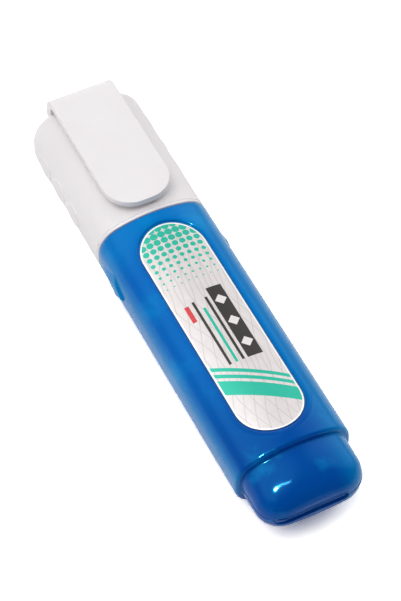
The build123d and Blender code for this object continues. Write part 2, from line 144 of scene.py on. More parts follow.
def add_node(
    tree: Tree, kind: str, inputs: dict[str | int, Any] | None = None, **settings: Any
) -> bpy.types.Node:
    """Adds a node with its settings, values and links.

    Args:
        tree: Node tree that takes the node.
        kind: Node type.
        inputs: Socket name or number to a value, or to the socket that feeds it.
        settings: Properties of the node.

    Returns:
        The new node.
    """
    node = tree.nodes.new(kind)
    for name, value in settings.items():
        setattr(node, name, value)
    for name, value in (inputs or {}).items():
        if isinstance(value, Socket):
            tree.links.new(value, node.inputs[name])
        else:
            node.inputs[name].default_value = value
    return node


def arc(steps: int, first: int = 1) -> list[tuple[float, float]]:
    """Sines and cosines at even steps of a quarter turn."""
    angles = [math.pi / 2 * step / steps for step in range(first, steps + 1)]
    return [(math.sin(angle), math.cos(angle)) for angle in angles]


class Draft:
    """Material in the making: its node tree and the place on the object."""

    def __init__(self, name: str) -> None:
        """Makes the empty material.

        Args:
            name: Material name.
        """
        self.material = bpy.data.materials.new(name)
        self.material.use_nodes = True
        self.tree = self.material.node_tree
        self.tree.nodes.clear()
        self.place = add_node(self.tree, "ShaderNodeTexCoord").outputs["Object"]

    def finish(
        self,
        ground: str,
        layers: Iterable[tuple[Socket, str]],
        gloss: Socket,
        relief: tuple[Socket, float],
        constants: dict[str, Any],
    ) -> Material:
        """Lays colours, gloss and relief on a surface shader.

        Args:
            ground: Lowest colour.
            layers: Share and colour of each layer over it, from the lowest up.
            gloss: Roughness.
            relief: Height and its full depth, in millimetres.
            constants: Values of the shader's other sockets.

        Returns:
            The finished material.
        """
        tree = self.tree
        colour: Any = linear(ground)
        for share, over in layers:
            mix = {"Factor": share, 6: colour, 7: linear(over)}
            colour = add_node(tree, "ShaderNodeMix", mix, data_type="RGBA").outputs[2]
        height, depth = relief
        bump = add_node(
            tree, "ShaderNodeBump", {"Height": height, "Strength": 1.0, "Distance": depth * MM}
        )
        surface = {"Base Color": colour, "Roughness": gloss, "Normal": bump.outputs["Normal"]}
        shader = add_node(tree, "ShaderNodeBsdfPrincipled", {**surface, **constants})
        add_node(tree, "ShaderNodeOutputMaterial", {"Surface": shader.outputs["BSDF"]})
        return self.material


@dataclass(frozen=True)
class PaintedLightRamp:
    """Painted light or shade: a colour laid over the tone along one axis, from start to full."""

    colour: str
    axis: Axis
    start: float
    full: float


@dataclass(frozen=True)
class MouldedPlastic:
    """Moulded plastic: slow drift of tone from the melt's flow, uneven gloss and a fine skin."""

    name: str
    light: str
    dark: str
    gloss: tuple[float, float]
    drift_mm: float
    skin_mm: float
    skin_depth_mm: float
    ior: float = 1.49
    sheen: str = "#FFFFFF"
    coat: float = 0.0
    cloud: str = ""
    cloud_share: float = 0.4
    cloud_span: tuple[float, float] = (0.5, 0.72)
    gloss_span: tuple[float, float] = (0.3, 0.7)
    # Painted light and shade, laid over the tone along the pen's axes
    walls: tuple[PaintedLightRamp, ...] = ()

    @cache
    def material(self) -> Material:
        """Builds the node material, once for all the pieces that wear it.

        Returns:
            The finished material.
        """
        draft = Draft(self.name)
        tree = draft.tree
        noises = []
        for size, detail, roughness in (
            (self.drift_mm, 3.0, 0.45),
            (self.drift_mm / 2, 4.0, 0.6),
            (self.skin_mm, 2.0, 0.5),
        ):
            look = {"Scale": 1 / (size * MM), "Detail": detail, "Roughness": roughness}
            noise = add_node(tree, "ShaderNodeTexNoise", {"Vector": draft.place, **look})
            noises.append(noise.outputs["Fac"])
        drift, patch, skin = noises
        along = add_node(tree, "ShaderNodeSeparateXYZ", {"Vector": draft.place})
        # Painted light and shade along the axes come first, then the random cloud patches
        spans = [
            (along.outputs[wall.axis.value], wall.start * MM, wall.full * MM, 1.0, wall.colour)
            for wall in self.walls
        ]
        if self.cloud:
            spans.append((patch, *self.cloud_span, self.cloud_share, self.cloud))
        layers = [(drift, self.light)]
        for value, low, high, top, colour in spans:
            ends = {"Value": value, "From Min": low, "From Max": high, "To Max": top}
            share = add_node(tree, "ShaderNodeMapRange", ends, interpolation_type="SMOOTHSTEP")
            layers.append((share.outputs["Result"], colour))
        low, high = self.gloss_span
        ends = {"Value": patch, "From Min": low, "From Max": high}
        ends |= {"To Min": self.gloss[0], "To Max": self.gloss[1]}
        gloss = add_node(tree, "ShaderNodeMapRange", ends)
        constants = {
            "IOR": self.ior,
            "Specular Tint": linear(self.sheen),
            "Coat Weight": self.coat,
            "Coat Roughness": self.gloss[0],
        }
        relief = (skin, self.skin_depth_mm)
        return draft.finish(self.dark, layers, gloss.outputs["Result"], relief, constants)


@dataclass(frozen=True)
class WorkedMetal:
    """Turned, drawn or polished metal: fine lines round the pen's axis and uneven gloss."""

    name: str
    light: str
    dark: str
    gloss: tuple[float, float]
    line_mm: float
    line_depth_mm: float

    @cache
    def material(self) -> Material:
        """Builds the node material, once for all the pieces that wear it.

        Returns:
            The finished material.
        """
        draft = Draft(self.name)
        tree = draft.tree
        along = add_node(tree, "ShaderNodeSeparateXYZ", {"Vector": draft.place})
        look = {"W": along.outputs["Y"], "Scale": 1 / (self.line_mm * MM), "Detail": 3.0}
        lines = add_node(tree, "ShaderNodeTexNoise", look, noise_dimensions="1D").outputs["Fac"]
        ends = {"Value": lines, "To Min": self.gloss[0], "To Max": self.gloss[1]}
        gloss = add_node(tree, "ShaderNodeMapRange", ends).outputs["Result"]
        relief = (lines, self.line_depth_mm)
        return draft.finish(self.dark, [(lines, self.light)], gloss, relief, {"Metallic": 1.0})


@dataclass(frozen=True)
class Field:
    """Number that varies over a surface, with the arithmetic that a print needs."""

    tree: Tree
    socket: Socket

    def take(self, operation: str, *others: Any) -> "Field":
        """Works out one number from this one and others.

        Args:
            operation: Math operation.
            others: Further numbers, plain or varying.

        Returns:
            The result.
        """
        values = [o.socket if isinstance(o, Field) else o for o in (self, *others)]
        node = add_node(self.tree, "ShaderNodeMath", dict(enumerate(values)), operation=operation)
        return Field(self.tree, node.outputs["Value"])

    def __add__(self, other: Any) -> "Field":
        """Sum."""
        return self.take("ADD", other)

    def __sub__(self, other: Any) -> "Field":
        """Difference."""
        return self.take("SUBTRACT", other)

    def __mul__(self, other: Any) -> "Field":
        """Product, or the overlap of two masks."""
        return self.take("MULTIPLY", other)

    def __abs__(self) -> "Field":
        """Distance from zero."""
        return self.take("ABSOLUTE")

    def __lt__(self, other: Any) -> "Field":
        """Mask that is 1 where this number is under the other."""
        return self.take("LESS_THAN", other)


@dataclass(frozen=True)
class PrintedFoil:
    """Silver foil label: pearly film with fine waves, a white border, plain printed shapes, and a
    thin dark ring of painted shade at its edge for the shadow in the pocket's gap.
    """

    name: str
    centre_y: float
    half_straight: float
    end_radius: float
    foil: str = "#E0DBDA"
    foil_shade: str = "#CBC5C4"
    wave: str = "#C2BCBB"
    border: str = "#F6F4F3"
    teal: str = "#0CB49A"
    charcoal: str = "#2A2625"
    red: str = "#C8323A"
    # Painted shade: the label's outermost ring is dark, as the shadow in the pocket's gap round it
    painted_gap_shade: str = "#1E3A5C"
    painted_gap_shade_width: float = 0.13
    border_width: float = 0.48
    cloud_mm: float = 2.38095
    grain_mm: float = 0.454545
    grain_depth: float = 0.006
    gloss: tuple[float, float] = (0.3, 0.48)
    metal_share: float = 0.25
    wave_pitch: float = 2.3
    wave_width_share: float = 0.075
    waves: Profile = ((2.6, 0.16), (-3.4, 0.11))
    slant_share: float = 0.6
    bands: Profile = ((-18.6, 1.9), (-15.4, 0.5), (-13.6, 0.5))
    dot_pitch: float = 1.7
    dots_from: float = 12.2
    dot_span: tuple[float, float] = (12.0, 26.0)
    dot_shares: tuple[float, float] = (0.08, 0.5)
    bar: tuple[float, float] = (2.9, -0.6)
    bar_half: tuple[float, float] = (1.75, 9.8)
    rule_half_width: float = 0.3
    diamond_pitch: float = 6.0
    diamond_half: float = 1.35

    def material(self) -> Material:
        """Builds the node material.

        Returns:
            The finished material.
        """
        draft = Draft(self.name)
        tree = draft.tree
        shift = {"Scale": (1 / MM, 1 / MM, 1 / MM), "Location": (0, -self.centre_y, 0)}
        spread = add_node(tree, "ShaderNodeMapping", {"Vector": draft.place, **shift})
        flat = spread.outputs["Vector"]
        axes = add_node(tree, "ShaderNodeSeparateXYZ", {"Vector": flat})
        x, y = (Field(tree, axes.outputs[axis.value]) for axis in Axis)
        cloud, grain = (
            add_node(tree, "ShaderNodeTexNoise", {"Vector": flat, "Scale": 1 / size, "Detail": 4.0})
            for size in (self.cloud_mm, self.grain_mm)
        )
        ends = {"Value": grain.outputs["Fac"], "To Min": self.gloss[0], "To Max": self.gloss[1]}
        gloss = add_node(tree, "ShaderNodeMapRange", ends).outputs["Result"]
        print_layers = self._waves(x, y) + self._shapes(x, y) + self._edges(x, y)
        layers = [(cloud.outputs["Fac"], self.foil)]
        layers += [(mask.socket, ink) for mask, ink in print_layers]
        relief = (grain.outputs["Fac"], self.grain_depth)
        return draft.finish(self.foil_shade, layers, gloss, relief, {"Metallic": self.metal_share})

    def _waves(self, x: Field, y: Field) -> list[tuple[Field, str]]:
        """Two families of fine waves in the foil.

        Args:
            x: Place across the label, in millimetres.
            y: Place along the label, in millimetres.

        Returns:
            Masks with their inks.
        """
        made = []
        for sway, turn in self.waves:
            shifted = x + (y * turn).take("SINE") * sway
            phase = shifted.take("DIVIDE", self.wave_pitch).take("FRACT")
            made.append((phase < self.wave_width_share, self.wave))
        return made

    def _edges(self, x: Field, y: Field) -> list[tuple[Field, str]]:
        """White border along the label's edge, and its outermost ring painted dark as the shadow in
        the pocket's gap.

        Args:
            x: Place across the label, in millimetres.
            y: Place along the label, in millimetres.

        Returns:
            Masks with their inks.
        """
        past = (abs(y) - self.half_straight).take("MAXIMUM", 0.0)
        reach = (x * x + past * past).take("SQRT")
        inside = reach.take("MULTIPLY_ADD", -1.0, self.end_radius)
        # White border, then the outermost ring of painted shade for the shadow in the pocket's gap
        edges = ((self.border_width, self.border), (self.painted_gap_shade_width, self.painted_gap_shade))
        return [(inside < width, ink) for width, ink in edges]

    def _shapes(self, x: Field, y: Field) -> list[tuple[Field, str]]:
        """Printed shapes from the lowest to the uppermost.

        Args:
            x: Place across the label, in millimetres.
            y: Place along the label, in millimetres.

        Returns:
            Masks with their inks.
        """
        slant = y + x * self.slant_share
        shapes = [(abs(slant - middle) < half, self.teal) for middle, half in self.bands]
        cells = [v.take("DIVIDE", self.dot_pitch).take("FRACT") - 0.5 for v in (x, y)]
        reach = (cells[0] * cells[0] + cells[1] * cells[1]).take("SQRT")
        ends = {"Value": y.socket, "From Min": self.dot_span[0], "From Max": self.dot_span[1]}
        ends |= {"To Min": self.dot_shares[0], "To Max": self.dot_shares[1]}
        size = Field(x.tree, add_node(x.tree, "ShaderNodeMapRange", ends).outputs["Result"])
        shapes.append(((reach < size) * y.take("GREATER_THAN", self.dots_from), self.teal))
        thin = self.rule_half_width
        for (bar_x, bar_y), (half_x, half_y), ink in (
            (self.bar, self.bar_half, self.charcoal),
            ((0.2, -1.6), (thin, 8.8), self.charcoal),
            ((-1.3, -2.8), (thin, 7.6), self.teal),
            ((-2.8, -1.6), (thin, 8.8), self.charcoal),
            ((-4.5, 4.6), (0.5, 2.2), self.red),
        ):
            shapes.append(((abs(x - bar_x) < half_x) * (abs(y - bar_y) < half_y), ink))
        for step in (-1, 0, 1):
            off = abs(x - self.bar[0]) + abs(y - (self.bar[1] + step * self.diamond_pitch))
            shapes.append((off < self.diamond_half, self.foil))
        return shapes


def quarter_share(turn: float) -> tuple[float, int, int]:
    """Splits a turn round a section that is the same in its four quarters.

    Args:
        turn: Quarters from the front face's middle, towards +X first.

    Returns:
        Share of the quarter, counted from the face's middle, and the signs of x and z in it.
    """
    quarter = int(turn % 4)
    share = turn % 4 - quarter
    if quarter % 2:
        share = 1 - share
    return share, 1 if quarter < 2 else -1, 1 if quarter in (0, 3) else -1


@dataclass(frozen=True)
class PillowSection:
    """Section of the bottle and the cap: crowned faces and sides with round corners."""

    width: float = 26.0
    thickness: float = 17.4
    crown_sag: float = 2.8
    side_sag: float = 0.6
    corner: float = 6.4
    axis_z: float = 8.55

    def _quarter(
        self, side_inset: float, face_inset: float, crown_share: float = 1.0
    ) -> tuple[tuple[float, ...], ...]:
        """Arcs of one quarter, from the face's middle to the side's.

        Args:
            side_inset: How far the sides are drawn in.
            face_inset: How far the faces are drawn in.
            crown_share: Share of the faces' crown that is left.

        Returns:
            Three arcs, each its centre's x and z, radius, first angle and last angle.
        """
        width_share = 1 - 2 * side_inset / self.width
        thickness_share = 1 - 2 * face_inset / self.thickness
        half_width = self.width / 2 * width_share
        half_thickness = self.thickness / 2 * thickness_share
        crown = self.crown_sag * width_share * crown_share
        side = self.side_sag * thickness_share
        edge_x, edge_z = half_width - side, half_thickness - crown
        crown_radius = (edge_x**2 + crown**2) / (2 * crown)
        side_radius = (edge_z**2 + side**2) / (2 * side)
        corner = self.corner * min(width_share, thickness_share)
        crown_z, side_x = half_thickness - crown_radius, half_width - side_radius
        # The corner's centre lies where two circles, drawn in by the corner's radius, cross
        first, second = crown_radius - corner, side_radius - corner
        apart = math.hypot(side_x, crown_z)
        along = (first**2 - second**2 + apart**2) / (2 * apart)
        off = math.sqrt(max(first**2 - along**2, 0.0))
        step_x, step_z = side_x / apart, -crown_z / apart
        corner_x = step_x * along + step_z * off
        corner_z = crown_z + step_z * along - step_x * off
        if corner_x < 0:
            corner_x = step_x * along - step_z * off
            corner_z = crown_z + step_z * along + step_x * off
        top = math.atan2(corner_z - crown_z, corner_x)
        low = math.atan2(corner_z, corner_x - side_x)
        return (
            (0.0, crown_z, crown_radius, math.pi / 2, top),
            (corner_x, corner_z, corner, top, low),
            (side_x, 0.0, side_radius, low, 0.0),
        )

    def _shares(self) -> tuple[float, float]:
        """Shares of the quarter at which the corner starts and ends, by length on the outside."""
        lengths = [radius * abs(last - start) for _, _, radius, start, last in self._quarter(0, 0)]
        return lengths[0] / sum(lengths), (lengths[0] + lengths[1]) / sum(lengths)

    def point(
        self,
        turn: float,
        side_inset: float = 0.0,
        face_inset: float = 0.0,
        crown_share: float = 1.0,
        floor_z: float = 0.0,
    ) -> tuple[float, float]:
        """Place on the section.

        Args:
            turn: Quarters from the front face's middle, towards +X first.
            side_inset: How far the sides are drawn in.
            face_inset: How far the faces are drawn in.
            crown_share: Share of the faces' crown that is left.
            floor_z: Height above the table at which the back is eased flat.

        Returns:
            The place's x and its z.
        """
        share, sign_x, sign_z = quarter_share(turn)
        bounds = (0.0, *self._shares(), 1.0)
        number = 0 if share < bounds[1] else 1 if share < bounds[2] else 2
        arcs = self._quarter(side_inset, face_inset, crown_share)
        centre_x, centre_z, radius, start, last = arcs[number]
        part = (share - bounds[number]) / (bounds[number + 1] - bounds[number])
        angle = start + (last - start) * part
        x = (centre_x + radius * math.cos(angle)) * sign_x
        z = (centre_z + radius * math.sin(angle)) * sign_z
        return x, max(self.axis_z + z, floor_z)

    def half_height(
        self, x: float, side_inset: float, face_inset: float, crown_share: float
    ) -> float:
        """Half the section's height at x.

        Args:
            x: Place across the pen.
            side_inset: How far the sides are drawn in.
            face_inset: How far the faces are drawn in.
            crown_share: Share of the faces' crown that is left.

        Returns:
            Half the height, or -1 outside the section.
        """
        crown, corner, side = self._quarter(side_inset, face_inset, crown_share)
        reach = abs(x)
        if reach <= crown[2] * math.cos(crown[4]):
            return crown[1] + math.sqrt(crown[2] ** 2 - reach**2)
        if reach <= corner[0] + corner[2] * math.cos(corner[4]):
            return corner[1] + math.sqrt(max(corner[2] ** 2 - (reach - corner[0]) ** 2, 0.0))
        if reach <= side[0] + side[2]:
            return math.sqrt(max(side[2] ** 2 - (reach - side[0]) ** 2, 0.0))
        return -1.0

    def half_width(self, z: float) -> float:
        """Half the section's width.

        Args:
            z: Height above the section's middle.

        Returns:
            Half the width there.
        """
        _, corner, side = self._quarter(0, 0)
        if abs(z) <= side[2] * math.sin(side[3]):
            return side[0] + math.sqrt(side[2] ** 2 - z**2)
        return corner[0] + math.sqrt(max(corner[2] ** 2 - (abs(z) - corner[1]) ** 2, 0.0))

    def turn_at(self, x: float) -> float:
        """Turn of the place on the front face that lies at x.

        Args:
            x: Place across the pen.

        Returns:
            Quarters from the front face's middle.
        """
        first, second = self._shares()
        crown, corner, _ = self._quarter(0, 0)
        reach = abs(x)
        if reach <= crown[2] * math.cos(crown[4]):
            share = first * (math.pi / 2 - math.acos(reach / crown[2])) / (math.pi / 2 - crown[4])
        else:
            angle = math.acos(min((reach - corner[0]) / corner[2], 1.0))
            share = first + (second - first) * (corner[3] - angle) / (corner[3] - corner[4])
        return share if x >= 0 else 4 - share

    def height(self, x: float) -> float:
        """Height above the table of the front face at x."""
        return self.point(self.turn_at(x))[1]


SECTION = PillowSection()


@dataclass(frozen=True)
class Obround:
    """Outline of the label, as spokes from its middle line."""

    centre_y: float = LABEL_Y
    width: float = 15.0
    length: float = 57.8
    core: float = 0.05

    @property
    def radius(self) -> float:
        """Radius of the ends."""
        return self.width / 2

    @property
    def innermost(self) -> float:
        """Distance out from the edge to the narrow last face on the middle line."""
        return self.core - self.radius

    @property
    def half_straight(self) -> float:
        """Half the length of the straight sides."""
        return (self.length - self.width) / 2

    def spokes(self, sides: int, bends: Sequence[Sequence[float]]) -> list[Spoke]:
        """Spokes once round: right side, cap end, left side, tail end.

        Args:
            sides: Number of spokes on each straight side.
            bends: Angles of the spokes round the cap end and round the tail end, from +X.

        Returns:
            Each spoke's foot on the middle line and its direction.
        """
        steps = [self.half_straight * (2 * (step + 0.5) / sides - 1) for step in range(sides)]
        made = []
        for sign, angles in zip((1, -1), bends):
            made += [(Vector((0, self.centre_y + sign * y)), Vector((sign, 0))) for y in steps]
            end = Vector((0, self.centre_y + sign * self.half_straight))
            made += [(end, Vector((sign * math.cos(a), sign * math.sin(a)))) for a in angles]
        return made


def on_crown(spoke: Spoke, reach: float, depth: float) -> Vector:
    """Place below the front face, on a spoke.

    Args:
        spoke: The spoke's foot and direction.
        reach: Distance along it.
        depth: Distance below the front face.

    Returns:
        The place, in metres.
    """
    foot, way = spoke
    spot = foot + way * reach
    return Vector((spot.x, spot.y, SECTION.height(spot.x) - depth)) * MM


def grow(bm: BMesh, loop: Loop, place: Place, closed: bool = True) -> Loop:
    """Extrudes a loop of edges by one step.

    Args:
        bm: Mesh that holds the loop.
        loop: Its vertices in order.
        place: Gives the new place of each vertex, in metres.
        closed: Whether the last vertex joins the first.

    Returns:
        The new loop, in the same order.
    """
    after = loop[1:] + loop[:1] if closed else loop[1:]
    edges = [bm.edges.get(pair) for pair in zip(loop, after)]
    made = bmesh.ops.extrude_edge_only(bm, edges=edges)["geom"]
    fresh = {item for item in made if isinstance(item, bmesh.types.BMVert)}
    ring = []
    for number, old in enumerate(loop):
        new = next(e.other_vert(old) for e in old.link_edges if e.other_vert(old) in fresh)
        new.co = place(number)
        ring.append(new)
    return ring


def first_ring(bm: BMesh, count: int, place: Place) -> Loop:
    """Makes a closed loop of edges.

    Args:
        bm: Mesh that takes the loop.
        count: Number of vertices.
        place: Gives the place of each vertex, in metres.

    Returns:
        The loop's vertices in order.
    """
    made = bmesh.ops.create_circle(bm, cap_ends=False, segments=count, radius=1.0)["verts"]
    for number, vert in enumerate(made):
        vert.co = place(number)
    return list(made)


def spin_profile(bm: BMesh, profile: Profile, closed: bool = True) -> None:
    """Spins a profile round the pen's axis.

    Args:
        bm: Mesh that takes the turned shape.
        profile: Radii and places along the pen, in millimetres.
        closed: Whether the last point joins the first.
    """
    verts = [bm.verts.new(Vector((radius, y, SECTION.axis_z)) * MM) for radius, y in profile]
    after = verts[1:] + verts[:1] if closed else verts[1:]
    edges = [bm.edges.new(pair) for pair in zip(verts, after)]
    bmesh.ops.spin(
        bm,
        geom=verts + edges,
        cent=Vector((0, 0, SECTION.axis_z)) * MM,
        axis=(0, 1, 0),
        angle=2 * math.pi,
        steps=SPIN_STEPS,
        use_merge=True,
        use_duplicate=False,
    )
    bmesh.ops.remove_doubles(bm, verts=bm.verts, dist=SAME_PLACE * MM)


def finish_mesh(
    bm: BMesh, name: str, material: Material, body: Body, slot: Slot, sharp_degrees: float
) -> Piece:
    """Turns a bmesh into a dressed piece that rides on a body.

    Args:
        bm: Finished mesh, in metres.
        name: Piece name.
        material: Its material.
        body: Body that it moves with.
        slot: Record slot that its finish belongs to; not used.
        sharp_degrees: Angle above which edges stay sharp.

    Returns:
        The new object.
    """
    # The backs of sunk forms, such as pads and lugs, and last loops are closed here
    bmesh.ops.holes_fill(bm, edges=[edge for edge in bm.edges if edge.is_boundary])
    bmesh.ops.recalc_face_normals(bm, faces=bm.faces)
    for face in bm.faces:
        face.smooth = True
    mesh = bpy.data.meshes.new(name)
    bm.to_mesh(mesh)
    bm.free()
    mesh.set_sharp_from_angle(angle=math.radians(sharp_degrees))
    mesh.materials.append(material)
    piece = bpy.data.objects.new(name, mesh)
    bpy.context.scene.collection.objects.link(piece)
    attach(piece, body.value)
    LOG.info("%s: %d faces", name, len(mesh.polygons))
    return piece


@dataclass
class Barrel:
    """Blow-moulded bottle: body with the label's pocket, tail, collar, neck and thumb lugs."""

    finish: MouldedPlastic
    outline: Obround = Obround()
    side_spokes: int = 110
    corner_spokes: int = 21
    across_steps: int = 28
    step_round: float = 0.9
    step_hollow: float = 0.35
    rim_round: float = 0.35
    rim_step: float = 0.05
    tail_side_inset: float = 1.17
    tail_face_inset: float = 1.6
    tail_side_round: float = 5.3
    tail_face_round: float = 9.8
    tail_end_height: float = 3.6
    tail_end_reach: float = 1.6
    collar_inset: float = 1.4
    collar_round: float = 1.6
    neck_edge: float = 0.25
    bore_shown: float = 6.5
    pocket_depth: float = 0.55
    pocket_margin: float = 0.4
    pocket_lip: float = 0.75
    pocket_wall_share: float = 0.74
    ridge_width: float = 0.78
    ridge_rise: float = 0.1
    panel_half: float = 9.6
    pinch_length: float = 16.4
    pinch_width: float = 1.9
    pinch_depth: float = 0.8
    pinch_offset: float = -1.5
    pinch_straight_share: float = 0.6
    bead_width: float = 0.8
    bead_height: float = 0.62
    bead_soft: float = 0.12
    bead_draft: float = 0.05
    crest_half: float = 0.02
    crest_rise: float = 0.03
    slot_edge: float = 0.06
    slot_draft: float = 0.03
    slot_foot: float = 0.1
    weld_sink: float = 0.08
    lip_width: float = 0.42
    parting_width: float = 0.3
    parting_rise: float = 0.12
    parting_lead: float = 0.4
    parting_overlap: float = 0.1
    lug_length: float = 10.9
    lug_height: float = 5.2
    lug_rise: float = 0.55
    lug_sink: float = 0.25
    lug_top_drop: float = 2.0
    lug_edge: float = 0.14
    lug_apex_share: float = 0.43
    lug_pivot_share: float = 0.13
    lug_taper_share: float = 0.38

    def build(self) -> None:
        """Builds and dresses the bottle."""
        bm = bmesh.new()
        tail_end, cap_end = self._body(bm)
        self._tail(bm, tail_end)
        self._collar(bm, cap_end)
        for side in (-1, 1):
            self._lug(bm, side)
            self._parting_line(bm, side)
        material = self.finish.material()
        piece = finish_mesh(
            bm, "squeeze_bottle", material, Body.BOTTLE, Slot.BLUE, sharp_degrees=50
        )
        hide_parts("barrel")

    def _pocket(self) -> list[tuple[float, float]]:
        """Pocket's profile, from its middle to the ridge round it.

        Returns:
            Distances out from the label's edge and depths below the crown.
        """
        wall, margin, lip = self.pocket_wall_share, self.pocket_margin, self.pocket_lip
        rings = [(out, 1.0) for out in (self.outline.innermost, -5.0, -2.5, 0.0, 0.22)]
        rings += [(0.32, 0.97), (0.38, 0.88), (margin, wall)]
        rings += [(margin + lip * (1 - cosine), wall * (1 - sine)) for sine, cosine in arc(8)]
        for step in range(1, 7):
            out = margin + lip + self.ridge_width * step / 6
            rings.append((out, -self.ridge_rise * math.sin(math.pi * step / 6) ** 2))
        return [(out, share * self.pocket_depth) for out, share in rings]

    def _front(self, bm: BMesh) -> Loop:
        """Makes the pocket and the front panel round it.

        Args:
            bm: Mesh that takes them.

        Returns:
            The panel's edge, from the start of its right side once round.
        """
        low_y, high_y = STEP_Y + self.step_round, RIM_Y - self.rim_round
        middle_y, straight = self.outline.centre_y, self.outline.half_straight
        bends = []
        for reach in (high_y - middle_y - straight, middle_y - straight - low_y):
            corner = math.atan2(reach, self.panel_half)
            side = [corner * n / (self.corner_spokes - 1) for n in range(self.corner_spokes)]
            across = [
                corner + (math.pi - 2 * corner) * n / self.across_steps
                for n in range(1, self.across_steps)
            ]
            bends.append(side + across + [math.pi - angle for angle in reversed(side)])
        spokes = self.outline.spokes(self.side_spokes, bends)
        limits = []
        for foot, way in spokes:
            reach = self.panel_half / abs(way.x) if abs(way.x) > LEVEL else math.inf
            if abs(way.y) > LEVEL:
                reach = min(reach, ((high_y if way.y > 0 else low_y) - foot.y) / way.y)
            limits.append(reach)
        radius = self.outline.radius
        profile = self._pocket()
        out, depth = profile[0]
        ring = first_ring(bm, len(spokes), lambda n: on_crown(spokes[n], radius + out, depth))
        bmesh.ops.contextual_create(bm, geom=ring)
        for out, depth in profile[1:]:
            ring = grow(bm, ring, lambda n: on_crown(spokes[n], radius + out, depth))
        edge = radius + profile[-1][0]
        for share in (0.06, 0.16, 0.3, 0.46, 0.64, 0.82, 1.0):
            ring = grow(
                bm, ring, lambda n: on_crown(spokes[n], edge + (limits[n] - edge) * share, 0.0)
            )
        return ring

    def _body(self, bm: BMesh) -> list[Ring]:
        """Makes the body's skin between its two rounded ends.

        Args:
            bm: Mesh that takes it.

        Returns:
            The loops at the tail's end and the cap's end, each with its turns round the section.
        """
        ring = self._front(bm)
        half, corner = len(ring) // 2, self.corner_spokes
        turns = self._columns(SECTION.turn_at(self.panel_half))
        walls = []
        for start, wall_turns in ((0, turns), (half, [4 - turn for turn in turns])):
            columns = [[ring[n] for n in range(start - corner, start + self.side_spokes + corner)]]
            for turn in wall_turns[1:]:
                x, z = SECTION.point(turn)
                base = columns[-1]
                columns.append(
                    grow(bm, base, lambda n: Vector((x * MM, base[n].co.y, z * MM)), False)
                )
            walls.append((columns, wall_turns))
        right, left = walls
        seam = right[0][-1]
        bmesh.ops.weld_verts(bm, targetmap=dict(zip(left[0][-1][::-1], seam)))
        ends = []
        for start, (first, first_turns), (other, other_turns), middle in (
            (half, right, left, seam[0]),
            (0, left, right, seam[-1]),
        ):
            loop = ring[start + self.side_spokes + corner - 1:start + half - corner + 1]
            loop_turns = [SECTION.turn_at(vert.co.x / MM) for vert in loop]
            loop += [column[0] for column in first[1:-1]] + [middle]
            loop += [column[-1] for column in other[-2:0:-1]]
            loop_turns += first_turns[1:-1] + [2.0] + other_turns[-2:0:-1]
            ends.append((loop, loop_turns))
        return ends

    def _columns(self, start: float) -> list[float]:
        """Turns of the lengthwise lines from the front panel's edge round to the back's middle.

        Args:
            start: Turn of the panel's edge.

        Returns:
            The turns, closer together at the parting line.
        """
        spans = ((start, 0.97, 16), (0.97, 1.03, 4), (1.03, 1.55, 14), (1.55, 2.0, 10))
        turns = [a + (b - a) * step / count for a, b, count in spans for step in range(count)]
        return turns + [2.0]

    def _sweep(self, bm: BMesh, ring: Ring, stations: Iterable[Sequence[float]]) -> Loop:
        """Grows a loop through sections of the pen.

        Args:
            bm: Mesh that holds the loop.
            ring: Loop to grow, with its turns.
            stations: Places along the pen, each with its side inset, face inset and crown share.

        Returns:
            The last loop.
        """
        loop, turns = ring
        for y, *insets in stations:
            spots = [SECTION.point(turn, *insets) for turn in turns]
            loop = grow(bm, loop, lambda n: Vector((spots[n][0], y, spots[n][1])) * MM)
        return loop

    def _tail(self, bm: BMesh, ring: Ring) -> None:
        """Adds the rounded step and the tail with its weld.

        Args:
            bm: Mesh that holds the body.
            ring: Loop at the body's tail end, with its turns.
        """
        sides, faces, hollow = self.tail_side_inset, self.tail_face_inset, self.step_hollow
        stations = []
        for sine, cosine in arc(6):
            inset = self.step_round * (1 - cosine)
            stations.append((STEP_Y + self.step_round * (1 - sine), inset, inset))
        for sine, cosine in arc(5, 0):
            out = hollow * (1 - sine)
            stations.append((STEP_Y - hollow * (1 - cosine), sides - out, faces - out))
        last = math.acos(1 - self.tail_end_reach / self.tail_face_round)
        for step in range(25):
            angle = math.pi / 2 + (last - math.pi / 2) * step / 24
            reach = self.tail_face_round * (1 - math.cos(angle))
            stations.append((TAIL_Y + reach, *self._tail_shape(reach)))
        self._weld(bm, self._sweep(bm, ring, stations), ring[1])

